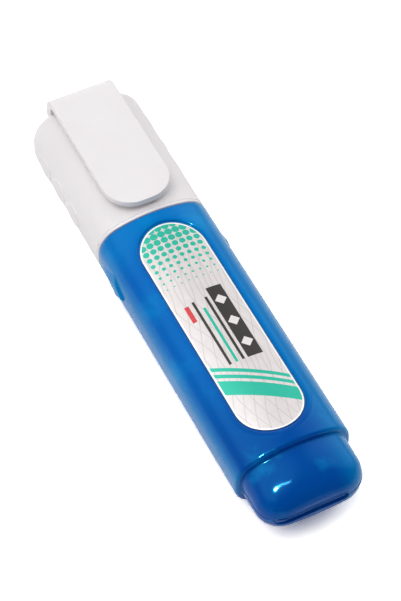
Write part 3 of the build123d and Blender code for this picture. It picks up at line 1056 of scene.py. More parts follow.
    def _weld(self, bm: BMesh, loop: Loop, turns: list[float]) -> None:
        """Closes the tail's end, with the weld's slot, its raised lip and the bead in it.

        Args:
            bm: Mesh that holds the tail.
            loop: Loop at the tail's end.
            turns: Turn of each of its vertices.
        """
        outer = [vert.co / MM for vert in loop]
        lip = [self._slot_spot(turn, -self.lip_width) for turn in turns]
        for share in (0.15, 0.3, 0.45, 0.6, 0.72, 0.83, 0.92, 1.0):
            spots = [
                (p.x + (x - p.x) * share, p.z + (z - p.z) * share) for p, (x, z) in zip(outer, lip)
            ]
            loop = grow(bm, loop, lambda n: self._end_place(*spots[n]))
        angles = [math.pi * step / 8 for step in range(1, 8)]
        reach, rise = self.lip_width / 2, self.parting_rise
        lips = [(reach * (1 + math.cos(angle)), -rise * math.sin(angle)) for angle in angles]
        for out, sink in (*lips, (0.0, self.slot_edge)):
            loop = grow(bm, loop, lambda n: self._end_place(*self._slot_spot(turns[n], -out), sink))
        half, soft = self.pinch_width / 2, self.bead_soft
        floor_y = TAIL_Y + self.pinch_depth
        foot, top_y = half - self.bead_width / 2, floor_y - self.bead_height
        for shrink, y in (
            (self.slot_draft, floor_y - self.slot_foot),
            (soft, floor_y),
            (foot, floor_y),
            (foot + self.bead_draft, top_y + soft),
            (foot + self.bead_draft + soft, top_y),
            (half - self.crest_half, top_y - self.crest_rise),
        ):
            spots = [self._slot_spot(turn, shrink) for turn in turns]
            skins = [self._end_place(*spot, self.weld_sink).y / MM for spot in spots]
            loop = grow(
                bm, loop, lambda n: Vector((spots[n][0], max(y, skins[n]), spots[n][1])) * MM
            )

    def _tail_shape(self, reach: float) -> tuple[float, float, float]:
        """Shape of the tail's section.

        Args:
            reach: Distance from the tail's end.

        Returns:
            Side inset, face inset and share of the crown.
        """
        corner = self.tail_side_round
        side = corner * (1 - math.sqrt(1 - max(1 - reach / corner, 0.0) ** 2))
        rise = math.sqrt(1 - max(1 - reach / self.tail_face_round, 0.0) ** 2)
        droop = (SECTION.thickness - self.tail_end_height) / 2 - self.tail_face_inset
        end_share = self.tail_end_height / SECTION.thickness
        return (
            self.tail_side_inset + side,
            self.tail_face_inset + droop * (1 - rise),
            end_share + (1 - end_share) * rise,
        )

    def _end_place(self, x: float, z: float, sink: float = 0.0) -> Vector:
        """Place on the tail's end, found by halving.

        Args:
            x: Place across the pen.
            z: Height above the table.
            sink: How far the place lies below the surface.

        Returns:
            The place, in metres.
        """
        low, high = 0.0, 2.0
        for _ in range(26):
            middle = (low + high) / 2
            if SECTION.half_height(x, *self._tail_shape(middle)) < abs(z - SECTION.axis_z):
                low = middle
            else:
                high = middle
        return Vector((x, TAIL_Y + high + sink, z)) * MM

    def _slot_spot(self, turn: float, shrink: float) -> tuple[float, float]:
        """Place on the weld slot's outline, drawn in by shrink.

        Args:
            turn: Quarters round the outline.
            shrink: How far the outline is drawn in.

        Returns:
            The place's x and z.
        """
        radius = self.pinch_width / 2
        straight, split = self.pinch_length / 2 - radius, self.pinch_straight_share
        share, sign_x, sign_z = quarter_share(turn)
        angle = max(share - split, 0.0) / (1 - split) * math.pi / 2
        x = straight * min(share / split, 1.0) + (radius - shrink) * math.sin(angle)
        z = (radius - shrink) * math.cos(angle)
        return x * sign_x + self.pinch_offset, SECTION.axis_z + z * sign_z

    def _collar(self, bm: BMesh, ring: Ring) -> None:
        """Adds the rounded rim, the collar under the cap and the neck.

        Args:
            bm: Mesh that holds the body.
            ring: Loop at the body's cap end, with its turns.
        """
        inset, bend = self.collar_inset, self.collar_round
        straight_y = SHOULDER_Y - bend
        rim = self.rim_round
        stops = [(RIM_Y - rim * (1 - sine), rim * (1 - cosine)) for sine, cosine in arc(4)]
        stops += [(y, inset) for y in (RIM_Y, RIM_Y + self.rim_step, straight_y)]
        stops += [(straight_y + bend * s, inset + bend * (1 - c)) for s, c in arc(6)]
        loop = self._sweep(bm, ring, [(y, drawn_in, drawn_in) for y, drawn_in in stops])
        rays = [Vector((v.co.x, v.co.z - SECTION.axis_z * MM)).normalized() for v in loop]
        for y, radius in (
            (SHOULDER_Y, NECK_RADIUS),
            (NECK_TOP_Y - self.neck_edge, NECK_RADIUS),
            (NECK_TOP_Y, NECK_RADIUS - self.neck_edge),
            (NECK_TOP_Y, NECK_BORE),
            (NECK_TOP_Y - self.bore_shown, NECK_BORE),
        ):
            loop = grow(
                bm,
                loop,
                lambda n: Vector((rays[n].x * radius, y, SECTION.axis_z + rays[n].y * radius)) * MM,
            )
        bmesh.ops.contextual_create(bm, geom=loop)

    def _lug(self, bm: BMesh, side: int) -> None:
        """Adds the diamond-shaped thumb lug on one narrow side.

        Args:
            bm: Mesh that takes it.
            side: 1 for the right side, -1 for the left.
        """
        length, half = self.lug_length, self.lug_height / 2
        low_y = RIM_Y - self.lug_top_drop - length
        apex_y = low_y + self.lug_apex_share * length
        pivot_y = low_y + self.lug_pivot_share * length
        corners = ((low_y + length, 0.0), (apex_y, half), (low_y, 0.0), (apex_y, -half))

        def spot(number: int, reach: float) -> Vector:
            """Place of a corner of the lug.

            Args:
                number: The corner's number.
                reach: Distance out from the bottle's side.

            Returns:
                The place, in metres.
            """
            share = 1 - self.lug_taper_share * reach / self.lug_rise
            y, z = corners[number]
            x = side * (SECTION.width / 2 + reach)
            return Vector((x, pivot_y + share * (y - pivot_y), SECTION.axis_z + share * z)) * MM

        ring = first_ring(bm, len(corners), lambda n: spot(n, -self.lug_sink))
        before = set(bm.edges)
        top = grow(bm, ring, lambda n: spot(n, self.lug_rise))
        bmesh.ops.contextual_create(bm, geom=top)
        bmesh.ops.bevel(
            bm,
            geom=[edge for edge in bm.edges if edge not in before],
            offset=self.lug_edge * MM,
            offset_type="OFFSET",
            affect="EDGES",
            segments=3,
            profile=0.5,
            material=-1,
        )

    def _parting_line(self, bm: BMesh, side: int) -> None:
        """Adds the mould's parting line along one side of the tail, round to the weld slot.

        Args:
            bm: Mesh that takes it.
            side: 1 for the right side, -1 for the left.
        """
        edge_x = SECTION.width / 2 - self.tail_side_inset
        corner = self.tail_side_round
        bend = Vector((edge_x - corner, TAIL_Y + corner))
        slot_end = self.pinch_length / 2 + side * self.pinch_offset
        last = math.acos((slot_end - self.parting_overlap - bend.x) / corner)
        path = [(Vector((edge_x, STEP_Y + self.parting_lead)), Vector((1, 0)))]
        for step in range(17):
            angle = -last * step / 16
            way = Vector((math.cos(angle), math.sin(angle)))
            path.append((bend + way * corner, way))
        half = self.parting_width / 2
        # Shares of the line's rise and half its width there, from the sunk foot to the crest
        flank = [(-0.2, half), (0.45, half), (0.9, half * 0.6)]
        shape = flank + [(rise, -z) for rise, z in reversed(flank)]

        def spot(stop: int, number: int) -> Vector:
            """Place of a point of the line's section.

            Args:
                stop: Number of the stop on the path.
                number: The point's number.

            Returns:
                The place, in metres.
            """
            foot, way = path[stop]
            rise, z = shape[number]
            flat = foot + way * (rise * self.parting_rise)
            return Vector((side * flat.x, flat.y, SECTION.axis_z + z)) * MM

        ring = first_ring(bm, len(shape), lambda n: spot(0, n))
        for stop in range(1, len(path)):
            ring = grow(bm, ring, lambda n: spot(stop, n))


@dataclass
class FrontLabel:
    """Foil label that lies on the pocket's floor and follows the crown."""

    outline: Obround = Obround()
    side_spokes: int = 100
    end_spokes: int = 60
    top_depth: float = 0.43
    floor_depth: float = 0.545
    edge_round: float = 0.04

    def build(self) -> None:
        """Builds and dresses the label."""
        top, floor, middle = self.top_depth, self.floor_depth, self.outline.innermost
        bends = [math.pi * (step + 0.5) / self.end_spokes for step in range(self.end_spokes)]
        spokes = self.outline.spokes(self.side_spokes, (bends, bends))
        radius = self.outline.radius
        bm = bmesh.new()
        ring = first_ring(bm, len(spokes), lambda n: on_crown(spokes[n], radius + middle, top))
        bmesh.ops.contextual_create(bm, geom=ring)
        rings = [(step - 6.5, top) for step in range(7)] + [(-self.edge_round, top)]
        rings += [(0.0, top + self.edge_round)]
        rings += [(out, floor) for out in (0.0, -2.5, -5.0, middle)]
        for out, depth in rings:
            ring = grow(bm, ring, lambda n: on_crown(spokes[n], radius + out, depth))
        bmesh.ops.contextual_create(bm, geom=ring)
        finish = PrintedFoil(
            "printed_silver_foil", self.outline.centre_y, self.outline.half_straight, radius
        )
        material = finish.material()
        piece = finish_mesh(bm, "foil_label", material, Body.BOTTLE, Slot.FOIL, sharp_degrees=40)
        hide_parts("front_label")


@dataclass
class Cap:
    """Injection-moulded cap: domed hood, grip pads, clip and the inner cap's socket."""

    finish: MouldedPlastic
    rim_y: float = RIM_Y + 0.25
    table_gap: float = 0.15
    hood_columns: int = 240
    wall: float = 1.25
    mouth_edge: float = 0.15
    lip_round: float = 0.35
    lip_height: float = 0.6
    groove_width: float = 0.2
    groove_depth: float = 0.12
    dome_length: float = 3.8
    dome_side: float = 3.2
    dome_face: float = 2.8
    boss_outside: float = 5.3
    boss_length: float = 8.6
    boss_gap: float = 0.02
    grip_first: float = RIM_Y + 13.6
    grip_pitch: float = 7.5
    grip_count: int = 3
    grip_length: float = 6.6
    grip_height: float = 5.6
    grip_rise: float = 0.22
    grip_sink: float = 0.4
    grip_points: int = 48
    clip_low_y: float = RIM_Y + 2.0
    clip_end_y: float = CAP_END_Y + 1.5
    clip_top_z: float = 19.75
    clip_width: float = 15.4
    clip_thickness: float = 1.4
    clip_bend: float = 4.0
    clip_inner_bend: float = 1.6
    clip_sink: float = 1.2
    clip_drop: float = 11.0
    clip_tip_land: float = 1.2
    clip_foot_round: float = 5.0
    clip_edge: float = 0.4
    clip_under_edge: float = 0.15

    def build(self) -> None:
        """Builds and dresses the hood, the clip and the grip pads."""
        material = self.finish.material()
        hood = self._hood(material)
        self._clip(material)
        self._grips(material)
        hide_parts("cap")

    def _hood(self, material: Material) -> Piece:
        """Builds the hood's shell with its lip and the inner cap's socket.

        Args:
            material: Material of the cap.

        Returns:
            The hood.
        """
        turns = [4 * number / self.hood_columns for number in range(self.hood_columns)]

        def place(number: int, y: float, sides: float, faces: float) -> Vector:
            """Place of a column at y, with the section drawn in."""
            x, z = SECTION.point(turns[number], sides, faces, floor_z=self.table_gap)
            return Vector((x, y, z)) * MM

        dome_y = CAP_END_Y - self.dome_length
        groove_y = self.rim_y + self.lip_height
        lip, wide, deep = self.lip_round, self.groove_width, self.groove_depth
        soft = wide / 4
        stops = [(self.rim_y + lip * (1 - s), lip * (1 - c)) for s, c in reversed(arc(6, 0))]
        stops += [(groove_y - soft, 0.0), (groove_y + soft, deep)]
        stops += [(groove_y + wide - soft, deep), (groove_y + wide + soft, 0.0)]
        skirt_y = groove_y + 4 * wide
        stops += [(skirt_y + (dome_y - skirt_y) * step / 24, 0.0) for step in range(25)]
        outside = [(y, inset, inset) for y, inset in stops]
        outside += [self._dome(step / 16, 0.0) for step in range(1, 17)]
        edge, wall = self.mouth_edge, self.wall
        inside = [(self.rim_y, wall - edge, wall - edge)]
        inside += [(y, wall, wall) for y in (self.rim_y + edge, dome_y)]
        inside += [self._dome(step / 10, wall) for step in range(1, 11)]
        bm = bmesh.new()
        mouth = first_ring(bm, len(turns), lambda n: place(n, *outside[0]))
        for stations in (outside[1:], inside):
            ring = mouth
            for station in stations:
                ring = grow(bm, ring, lambda n: place(n, *station))
            self._close(bm, ring)
        self._socket(bm)
        return finish_mesh(bm, "cap_hood", material, Body.CAP, Slot.WHITE, sharp_degrees=50)

    def _dome(self, share: float, inset: float) -> tuple[float, float, float]:
        """Section of the dome.

        Args:
            share: Share of the dome's quarter turn.
            inset: How far the whole dome is drawn in.

        Returns:
            Place along the pen, side inset and face inset.
        """
        angle = math.pi / 2 * share
        y = CAP_END_Y - self.dome_length + (self.dome_length - inset) * math.sin(angle)
        sides = inset + (self.dome_side - inset) * (1 - math.cos(angle))
        faces = inset + (self.dome_face - inset) * (1 - math.cos(angle))
        return y, sides, faces

    def _close(self, bm: BMesh, ring: Loop) -> None:
        """Closes a ring with smaller rings and a last face.

        Args:
            bm: Mesh that holds the ring.
            ring: Its vertices in order.
        """
        middle = sum((v.co for v in ring), Vector()) / len(ring)
        for share in (0.7, 0.35):
            spots = [middle + (v.co - middle) * share for v in ring]
            ring = grow(bm, ring, lambda n: spots[n])
        bmesh.ops.contextual_create(bm, geom=ring)

    def _socket(self, bm: BMesh) -> None:
        """Adds the tube inside the hood that holds the inner cap.

        Args:
            bm: Mesh that takes it.
        """
        low_y = CAP_ROOF_Y - self.boss_length
        profile = [(SOCKET_RADIUS, CAP_ROOF_Y - self.boss_gap), (SOCKET_RADIUS, low_y)]
        profile += [(self.boss_outside, low_y), (self.boss_outside, CAP_ROOF_Y + self.wall / 2)]
        spin_profile(bm, profile, closed=False)

    def _clip_stations(self) -> list[Station]:
        """Strap's stations from its tip, over the bend at the cap's end and down to its foot.

        Returns:
            Places of the outer and the inner face, as y and z, and half the width.
        """
        top_z, under_z = self.clip_top_z, self.clip_top_z - self.clip_thickness
        end_y, stem_y = self.clip_end_y, CAP_END_Y - self.clip_sink
        foot_z = top_z - self.clip_drop
        bend, inner_bend, foot = self.clip_bend, self.clip_inner_bend, self.clip_foot_round
        straight_y, inner_y = end_y - bend, stem_y - inner_bend
        full = self.clip_width / 2
        tip = full - self.clip_tip_land
        stations = []
        for sine, cosine in arc(14, 0):
            y = self.clip_low_y + tip * (1 - cosine)
            half = self.clip_tip_land + tip * sine
            stations.append((Vector((y, top_z)), Vector((y, under_z)), half))
        first_y = stations[-1][0].x
        for share in (step / 30 for step in range(1, 31)):
            outer = Vector((first_y + (straight_y - first_y) * share, top_z))
            inner = Vector((first_y + (inner_y - first_y) * share, under_z))
            stations.append((outer, inner, full))
        for way in map(Vector, arc(12)):
            outer = Vector((straight_y, top_z - bend)) + way * bend
            inner = Vector((inner_y, under_z - inner_bend)) + way * inner_bend
            stations.append((outer, inner, full))
        down = top_z - bend - foot_z
        drops = [(foot_z + down - (down - foot) * step / 4, full) for step in range(1, 5)]
        drops += [(foot_z + foot * (1 - s), full - foot * (1 - c)) for s, c in arc(10)]
        stations += [(Vector((end_y, z)), Vector((stem_y, z)), half) for z, half in drops]
        return stations

    def _clip(self, material: Material) -> None:
        """Builds the clip's plain strap, bent over the cap's end. Its nub is in the solid alone.

        Args:
            material: Material of the cap.
        """
        stations = self._clip_stations()
        shape = self._strap_shape()

        def spot(stop: int, number: int) -> Vector:
            """Place of a point of the strap's section.

            Args:
                stop: Number of the station.
                number: The point's number.

            Returns:
                The place, in metres.
            """
            outer, inner, half = stations[stop]
            thick = (outer - inner).length
            side, sign, depth, face = shape[number]
            base = outer + (inner - outer) * ((depth + face * (thick - 2 * depth)) / thick)
            return Vector((sign * (half - side), base.x, base.y)) * MM

        bm = bmesh.new()
        ring = first_ring(bm, len(shape), lambda n: spot(0, n))
        bmesh.ops.contextual_create(bm, geom=ring)
        for stop in range(1, len(stations)):
            ring = grow(bm, ring, lambda n: spot(stop, n))
        bmesh.ops.contextual_create(bm, geom=ring)
        piece = finish_mesh(bm, "pocket_clip", material, Body.CAP, Slot.WHITE, sharp_degrees=45)
        piece.modifiers.new("even_shading", "WEIGHTED_NORMAL").keep_sharp = True

    def _strap_shape(self) -> list[tuple[float, int, float, float]]:
        """Strap's section, with round upper edges and small chamfers below.

        Returns:
            Distance in from a side, the side's sign, depth from a face, and 1 for the lower face.
        """
        edge, small = self.clip_edge, self.clip_under_edge
        quarter = [(edge * (1 - cosine), edge * (1 - sine)) for sine, cosine in arc(5, 0)]
        top = [(side, 1, depth, 0.0) for side, depth in quarter]
        top += [(side, -1, depth, 0.0) for side, depth in reversed(quarter)]
        left_low = [(0.0, -1, small, 1.0), (small, -1, 0.0, 1.0)]
        return top + left_low + [(small, 1, 0.0, 1.0), (0.0, 1, small, 1.0)]

    def _grips(self, material: Material) -> None:
        """Builds the leaf-shaped grip pads on both narrow sides.

        Args:
            material: Material of the cap.
        """
        bm = bmesh.new()
        half, rise, count = self.grip_length / 2, self.grip_height / 2, self.grip_points
        radius = (half**2 + rise**2) / (2 * rise)
        # Drops below the pad's top and shares of its outline, from its edge to its middle
        steps = ((0.15, 1.0), (0.06, 0.97), (0.015, 0.92), (0.0, 0.86), (0.0, 0.5))
        for side in (-1, 1):
            for number in range(self.grip_count):
                middle_y = self.grip_first + number * self.grip_pitch

                def spot(index: int, lift: float, share: float) -> Vector:
                    """Place of a point of the leaf.

                    Args:
                        index: The point's number.
                        lift: Distance out from the cap's side.
                        share: Share of the leaf's size.

                    Returns:
                        The place, in metres.
                    """
                    along = -math.cos(2 * math.pi * index / count)
                    reach = math.sqrt(radius**2 - (along * half) ** 2) - (radius - rise)
                    z = reach * (1 if index < count / 2 else -1) * share
                    x = side * (SECTION.half_width(z) + lift)
                    return Vector((x, middle_y + along * half * share, SECTION.axis_z + z)) * MM

                ring = first_ring(bm, count, lambda n: spot(n, -self.grip_sink, 1.0))
                for drop, share in steps:
                    ring = grow(bm, ring, lambda n: spot(n, self.grip_rise - drop, share))
                bmesh.ops.contextual_create(bm, geom=ring)
        finish_mesh(bm, "cap_grip_pads", material, Body.CAP, Slot.WHITE, sharp_degrees=40)


@dataclass
class NozzleGroup:
    """Nozzle, gasket, metal tip and inner cap, all turned round the pen's axis."""

    plastic: MouldedPlastic
    rubber: MouldedPlastic
    metal: WorkedMetal
    tube_end_y: float = NOSE_Y + 3.0
    flare_radius: float = 4.6
    land_radius: float = 2.4
    nose_radius: float = 1.6
    nose_length: float = 0.6
    nozzle_edge: float = 0.15
    gasket_edge: float = 0.12
    tube_radius: float = 0.75
    tip_radius: float = 0.5
    tip_bore: float = 0.31
    tip_taper: float = 0.4
    tip_edge: float = 0.06
    valve_bore: float = 1.9
    throat_radius: float = 0.9
    shank_radius: float = 1.25
    inlet_length: float = 1.8
    cup_skirt: float = 2.0
    cup_gap: float = 0.06
    cup_lead: float = 0.95
    cup_room: float = 2.0
    cup_land_gap: float = 0.3
    cup_edge: float = 0.1
    seal_thickness: float = 1.0

    def build(self) -> None:
        """Builds the turned pieces, dresses them and puts them in their nodes' places."""
        for name, node, profile, finish, body, slot in (
            ("nozzle_cone", "nozzle", self._nozzle(), self.plastic, Body.BOTTLE, Slot.NOZZLE),
            (
                "neck_gasket",
                "nozzle_gasket",
                self._gasket(),
                self.rubber,
                Body.BOTTLE,
                Slot.ELASTOMER,
            ),
            ("fine_tip", "metal_tip", self._tip(), self.metal, Body.BOTTLE, Slot.TIP),
            ("sealing_cup", "inner_cap", self._cup(), self.plastic, Body.CAP, Slot.NOZZLE),
        ):
            bm = bmesh.new()
            spin_profile(bm, profile)
            piece = finish_mesh(bm, name, finish.material(), body, slot, sharp_degrees=35)
            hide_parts(node)

    def _gasket(self) -> Profile:
        """Gasket's profile, between the neck's mouth and the flange.

        Returns:
            Radii and places along the pen.
        """
        edge = self.gasket_edge
        return (
            (NECK_BORE, NECK_TOP_Y),
            (NECK_RADIUS - edge, NECK_TOP_Y),
            (NECK_RADIUS, NECK_TOP_Y + edge),
            (NECK_RADIUS, FLANGE_Y - edge),
            (NECK_RADIUS - edge, FLANGE_Y),
            (NECK_BORE, FLANGE_Y),
        )

    def _nozzle(self) -> Profile:
        """Nozzle's profile, with the hollow cone between flange and land as an arc.

        Returns:
            Radii and places along the pen.
        """
        land, edge = self.land_radius, self.nozzle_edge
        length, drop = LAND_Y - FLARE_Y, self.flare_radius - land
        radius = (length**2 + drop**2) / (2 * drop)
        places = [FLARE_Y + length * step / 16 for step in range(17)]
        cone = [(land + radius - math.sqrt(radius**2 - (LAND_Y - y) ** 2), y) for y in places]
        return (
            (self.valve_bore, PLUG_Y),
            (NECK_BORE, PLUG_Y),
            (NECK_BORE, FLANGE_Y),
            (NECK_RADIUS - edge, FLANGE_Y),
            (NECK_RADIUS, FLANGE_Y + edge),
            (NECK_RADIUS, FLARE_Y - edge),
            (NECK_RADIUS - edge, FLARE_Y),
            *cone,
            (land, NOSE_Y - self.nose_length),
            (self.nose_radius, NOSE_Y),
            (self.shank_radius, NOSE_Y),
            (self.shank_radius, SHANK_Y),
            (self.throat_radius, SHANK_Y),
            (self.throat_radius, THROAT_Y),
            (self.valve_bore, SEAT_Y),
        )

    def _tip(self) -> Profile:
        """Metal tip's profile: shank, tube, cone and fine end with its bore.

        Returns:
            Radii and places along the pen.
        """
        edge, inlet_y = self.tip_edge, SHANK_Y + self.inlet_length
        return (
            (self.throat_radius, SHANK_Y),
            (self.shank_radius, SHANK_Y),
            (self.shank_radius, NOSE_Y - edge),
            (self.shank_radius - edge, NOSE_Y),
            (self.tube_radius, NOSE_Y),
            (self.tube_radius, self.tube_end_y - edge),
            (self.tip_radius, self.tube_end_y + self.tip_taper),
            (self.tip_radius, TIP_Y - edge),
            (self.tip_radius - edge, TIP_Y),
            (self.tip_bore, TIP_Y),
            (self.tip_bore, inlet_y),
            (self.throat_radius, inlet_y),
        )

    def _cup(self) -> Profile:
        """Inner cap's profile: lead-in, land bore, room round the tip and closed end.

        Returns:
            Radii and places along the pen.
        """
        bore, edge, gap = self.land_radius + self.cup_gap, self.cup_edge, self.cup_land_gap
        low_y, seal_y = LAND_Y - self.cup_skirt, SEAL_Y + self.seal_thickness
        return (
            (bore + self.cup_lead, low_y),
            (SOCKET_RADIUS - edge, low_y),
            (SOCKET_RADIUS, low_y + edge),
            (SOCKET_RADIUS, CAP_ROOF_Y),
            (0.0, CAP_ROOF_Y),
            (0.0, seal_y),
            (self.cup_room, seal_y),
            (self.cup_room, NOSE_Y + gap),
            (bore, NOSE_Y + gap),
            (bore, LAND_Y + gap),
        )


@dataclass
class ValveParts:
    """Spring wound round the needle, and sealed pieces that stay as their CAD nodes."""

    wire: WorkedMetal
    ball: WorkedMetal
    acetal: MouldedPlastic
    rubber: MouldedPlastic
    wire_radius: float = 0.2
    wire_points: int = 12
    coil_radius: float = 1.25
    turns: int = 5
    steps_per_turn: int = 36
    needle_travel: float = 0.5

    def spring(self) -> None:
        """Winds the wire up the needle."""
        bm = bmesh.new()
        steps = self.turns * self.steps_per_turn
        length = PLUNGER_Y - RETAINER_Y
        foot = Vector((0.0, RETAINER_Y + self.wire_radius, SECTION.axis_z)) * MM
        side = Vector((self.coil_radius, 0.0, 0.0)) * MM
        section = bmesh.ops.create_circle(
            bm,
            segments=self.wire_points,
            radius=self.wire_radius * MM,
            matrix=Matrix.Translation(foot + side),
        )["verts"]
        bmesh.ops.spin(
            bm,
            geom=section + list(bm.edges),
            cent=foot,
            axis=(0, 1, 0),
            dvec=(0, (length - 2 * self.wire_radius) * MM / steps, 0),
            angle=2 * math.pi * self.turns,
            steps=steps,
        )
        material = self.wire.material()
        piece = finish_mesh(bm, "return_spring", material, Body.BOTTLE, Slot.WIRE, sharp_degrees=50)
        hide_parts("valve_spring")
        keep = 1 - self.needle_travel / length
        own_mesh(piece)

    def dress(self) -> None:
        """Gives each node its material."""
        for node, finish in (
            ("valve_needle", self.wire),
            ("mixing_ball", self.ball),
            ("needle_plunger", self.acetal),
            ("spring_retainer", self.acetal),
            ("tip_seal", self.rubber),
        ):
            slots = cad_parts[node].data.materials
            slots.clear()
            slots.append(finish.material())
            LOG.info("%s dressed", node)


@dataclass(frozen=True)
class Glow:
    """Soft bright patch of the surround, such as a wide softbox gives."""

    way: tuple[float, float, float]
    level: float
    edge: float
    core: float


@dataclass(frozen=True)
class Lamp:
    """Lamp that faces the pen and gives it a highlight only, in metres and watts."""

    name: str
    place: tuple[float, float, float]
    size: tuple[float, float]
    power: float

    def build(self) -> None:
        """Builds the lamp."""
        light = bpy.data.lights.new(self.name, "AREA")
        light.shape = "RECTANGLE"
        light.size, light.size_y = self.size
        light.energy = self.power
        lamp = bpy.data.objects.new(self.name, light)
        lamp.visible_diffuse = False
        lamp.location = self.place
        lamp.rotation_mode = "QUATERNION"
        lamp.rotation_quaternion = (-Vector(self.place)).to_track_quat("-Z", "Y")
        bpy.context.scene.collection.objects.link(lamp)


@dataclass
class Studio:
    """White table, soft light from behind and above, and a darker front."""

    floor_size: float = 4.0
    table: str = "#F4F4F5"
    table_seen: str = "#FFFBF2"
    table_gain: float = 2.1
    room_level: float = 0.55
    front_level: float = 0.25
    front_span: tuple[float, float] = (-0.6, 0.05)
    glows: tuple[Glow, ...] = (
        Glow((-0.45, 0.15, 0.88), 1.75, 0.72, 0.98),
        Glow((0.74, 0.2, 0.64), 1.5, 0.84, 0.99),
    )
    lamps: tuple[Lamp, ...] = (
        Lamp("top_strip", (-0.09, -0.15, 0.98), (0.2, 0.05), 1.0),
        Lamp("top_spot", (-0.22, -0.12, 0.97), (0.06, 0.06), 16.0),
    )

    def build(self) -> None:
        """Builds the table, the surround and the lamps."""
        self._table()
        self._surround()
        for lamp in self.lamps:
            lamp.build()
        bpy.context.scene.view_settings.view_transform = "Standard"

    def _table(self) -> None:
        """Builds the table: it is seen so bright that only the pen's deeper shadow stays."""
        bm = bmesh.new()
        bmesh.ops.create_grid(bm, x_segments=1, y_segments=1, size=self.floor_size / 2)
        mesh = bpy.data.meshes.new("table")
        bm.to_mesh(mesh)
        bm.free()
        material = bpy.data.materials.new("white_table")
        material.use_nodes = True
        tree = material.node_tree
        tree.nodes.clear()
        path = add_node(tree, "ShaderNodeLightPath").outputs
        bright = [self.table_gain * part for part in linear(self.table_seen)[:3]]
        tones = {"Factor": path["Is Camera Ray"], 6: linear("#FFFFFF"), 7: (*bright, 1.0)}
        tone = add_node(tree, "ShaderNodeMix", tones, data_type="RGBA").outputs[2]
        seen = path["Is Camera Ray"]
        for name in ("Is Glossy Ray", "Is Transmission Ray"):
            rays = {0: seen, 1: path[name]}
            seen = add_node(tree, "ShaderNodeMath", rays, operation="MAXIMUM").outputs["Value"]
        matt, white = (
            add_node(tree, "ShaderNodeBsdfDiffuse", {"Color": colour}).outputs["BSDF"]
            for colour in (linear(self.table), tone)
        )
        mix = add_node(tree, "ShaderNodeMixShader", {0: seen, 1: matt, 2: white})
        add_node(tree, "ShaderNodeOutputMaterial", {"Surface": mix.outputs["Shader"]})
        mesh.materials.append(material)
        table = bpy.data.objects.new("table", mesh)
        bpy.context.scene.collection.objects.link(table)

    def _surround(self) -> None:
        """Builds the world: white to the camera, and a soft studio for everything else."""
        world = bpy.data.worlds.new("studio")
        world.use_nodes = True
        bpy.context.scene.world = world
        tree = world.node_tree
        tree.nodes.clear()
        way = add_node(tree, "ShaderNodeTexCoord").outputs["Generated"]
        along = add_node(tree, "ShaderNodeSeparateXYZ", {"Vector": way}).outputs["Y"]
        spans = [(along, *self.front_span, self.front_level, self.room_level)]
        for glow in self.glows:
            ways = {0: way, 1: Vector(glow.way).normalized()}
            aim = add_node(tree, "ShaderNodeVectorMath", ways, operation="DOT_PRODUCT")
            spans.append((aim.outputs["Value"], glow.edge, glow.core, 0.0, glow.level))
        level: Any = 0.0
        for span in spans:
            ends = dict(zip(("Value", "From Min", "From Max", "To Min", "To Max"), span))
            patch = add_node(tree, "ShaderNodeMapRange", ends, interpolation_type="SMOOTHSTEP")
            parts = {0: level, 1: patch.outputs["Result"]}
            level = add_node(tree, "ShaderNodeMath", parts, operation="ADD").outputs["Value"]
        room, white = (
            add_node(tree, "ShaderNodeBackground", {"Color": linear("#FFFFFF"), "Strength": light})
            for light in (level, 1.0)
        )
        seen = add_node(tree, "ShaderNodeLightPath").outputs["Is Camera Ray"]
        shades = {0: seen, 1: room.outputs["Background"], 2: white.outputs["Background"]}
        mix = add_node(tree, "ShaderNodeMixShader", shades)
        add_node(tree, "ShaderNodeOutputWorld", {"Surface": mix.outputs["Shader"]})


@dataclass
class PhotoCamera:
    """Camera at the photograph's place, fitted to the pen's edges in a frame of 401 by 601."""

    azimuth: float = -26.459
    elevation: float = 53.288
    distance: float = 476.53
    focal_px: float = 2234.07
    target: tuple[float, float, float] = (1.79, -0.824, 8.0)
    frame_px: int = 601
    sensor: float = 36.0

    def build(self) -> None:
        """Builds the camera."""
        turn, rise = math.radians(self.azimuth), math.radians(self.elevation)
        back = Vector(
            (math.sin(turn) * math.cos(rise), -math.cos(turn) * math.cos(rise), math.sin(rise))
        )
        data = bpy.data.cameras.new("camera")
        data.sensor_width = self.sensor
        data.lens = self.focal_px * self.sensor / self.frame_px
        data.clip_start, data.clip_end = 0.01, 20.0
        camera = bpy.data.objects.new("camera", data)
        camera.location = (Vector(self.target) + back * self.distance) * MM
        camera.rotation_mode = "QUATERNION"
        camera.rotation_quaternion = (-back).to_track_quat("-Z", "Y")
        bpy.context.scene.collection.objects.link(camera)
        bpy.context.scene.camera = camera


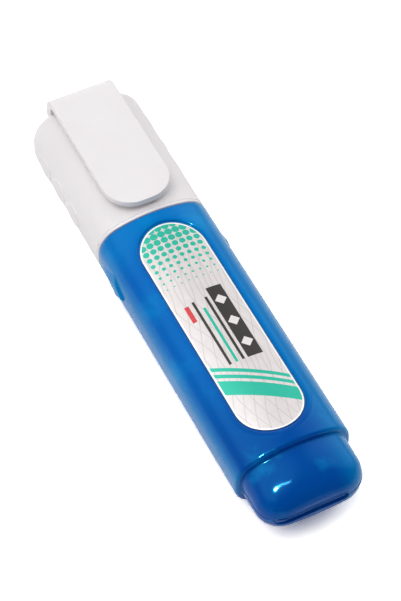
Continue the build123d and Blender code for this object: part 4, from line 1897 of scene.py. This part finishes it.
# Blow-moulded polypropylene: deep clear blue with a wet gloss and a faint orange-peel skin
# Painted shade darkens the blue towards the tail; painted light and reflection make it lighter and
# more cyan near the rim and towards the sides
BLUE = MouldedPlastic(
    "blue_polypropylene",
    "#006BC4",
    "#005AB2",
    (0.07, 0.11),
    22.0,
    1.6,
    0.004,
    ior=1.4,
    sheen="#20C8FF",
    coat=0.05,
    cloud="#0094D4",
    # Painted shade towards the tail, painted light and reflection near the rim and towards both
    # sides
    walls=(
        PaintedLightRamp("#00469C", Axis.ALONG, STEP_Y + 34.0, STEP_Y - 2.0),
        PaintedLightRamp("#0074C4", Axis.ALONG, RIM_Y - 14.0, RIM_Y),
        PaintedLightRamp("#0080C0", Axis.ACROSS, 4.0, 13.4),
        PaintedLightRamp("#007CBE", Axis.ACROSS, -11.4, -13.4),
    ),
)

# Injection-moulded polypropylene: warm white, satin from a fine spark-eroded tool
WHITE = MouldedPlastic("white_polypropylene", "#EDEAEB", "#E6E2E4", (0.42, 0.52), 14.0, 0.4, 0.006)

# Polyethylene: soft waxy white
WAXY = MouldedPlastic(
    "white_polyethylene", "#E6E5DF", "#D9D8D0", (0.35, 0.45), 6.0, 0.3, 0.004, ior=1.51
)

# Acetal: natural, slightly creamy and smooth
ACETAL = MouldedPlastic(
    "natural_acetal", "#DDD9C8", "#D2CCB8", (0.3, 0.4), 3.0, 0.2, 0.002, ior=1.48
)

# Moulded elastomer: dark and matt
RUBBER = MouldedPlastic(
    "black_elastomer", "#2B2B2D", "#1F1F21", (0.6, 0.75), 3.0, 0.15, 0.004, ior=1.52
)

# Turned nickel silver: fine tool lines round the axis, drawn coarser than real so that they show
TURNED = WorkedMetal("turned_nickel_silver", "#D6D0C0", "#BDB6A4", (0.2, 0.36), 0.12, 0.002)

# Drawn stainless wire: bright, with faint rings round the pen's axis
DRAWN = WorkedMetal("drawn_stainless_steel", "#D2D3D6", "#B4B6BA", (0.2, 0.32), 0.2, 0.001)

# Ground and polished steel: near a mirror
POLISHED = WorkedMetal("polished_steel", "#D9DADD", "#CFD0D4", (0.06, 0.12), 1.5, 0.0005)


def main() -> None:
    """Builds the pen, the studio and the camera."""
    logging.basicConfig(level=logging.INFO, format="%(name)s %(message)s")
    PhotoCamera().build()
    Barrel(BLUE).build()
    FrontLabel().build()
    Cap(WHITE).build()
    NozzleGroup(WAXY, RUBBER, TURNED).build()
    valve = ValveParts(DRAWN, POLISHED, ACETAL, RUBBER)
    valve.spring()
    valve.dress()
    Studio().build()


if __name__ == "__main__":
    main()
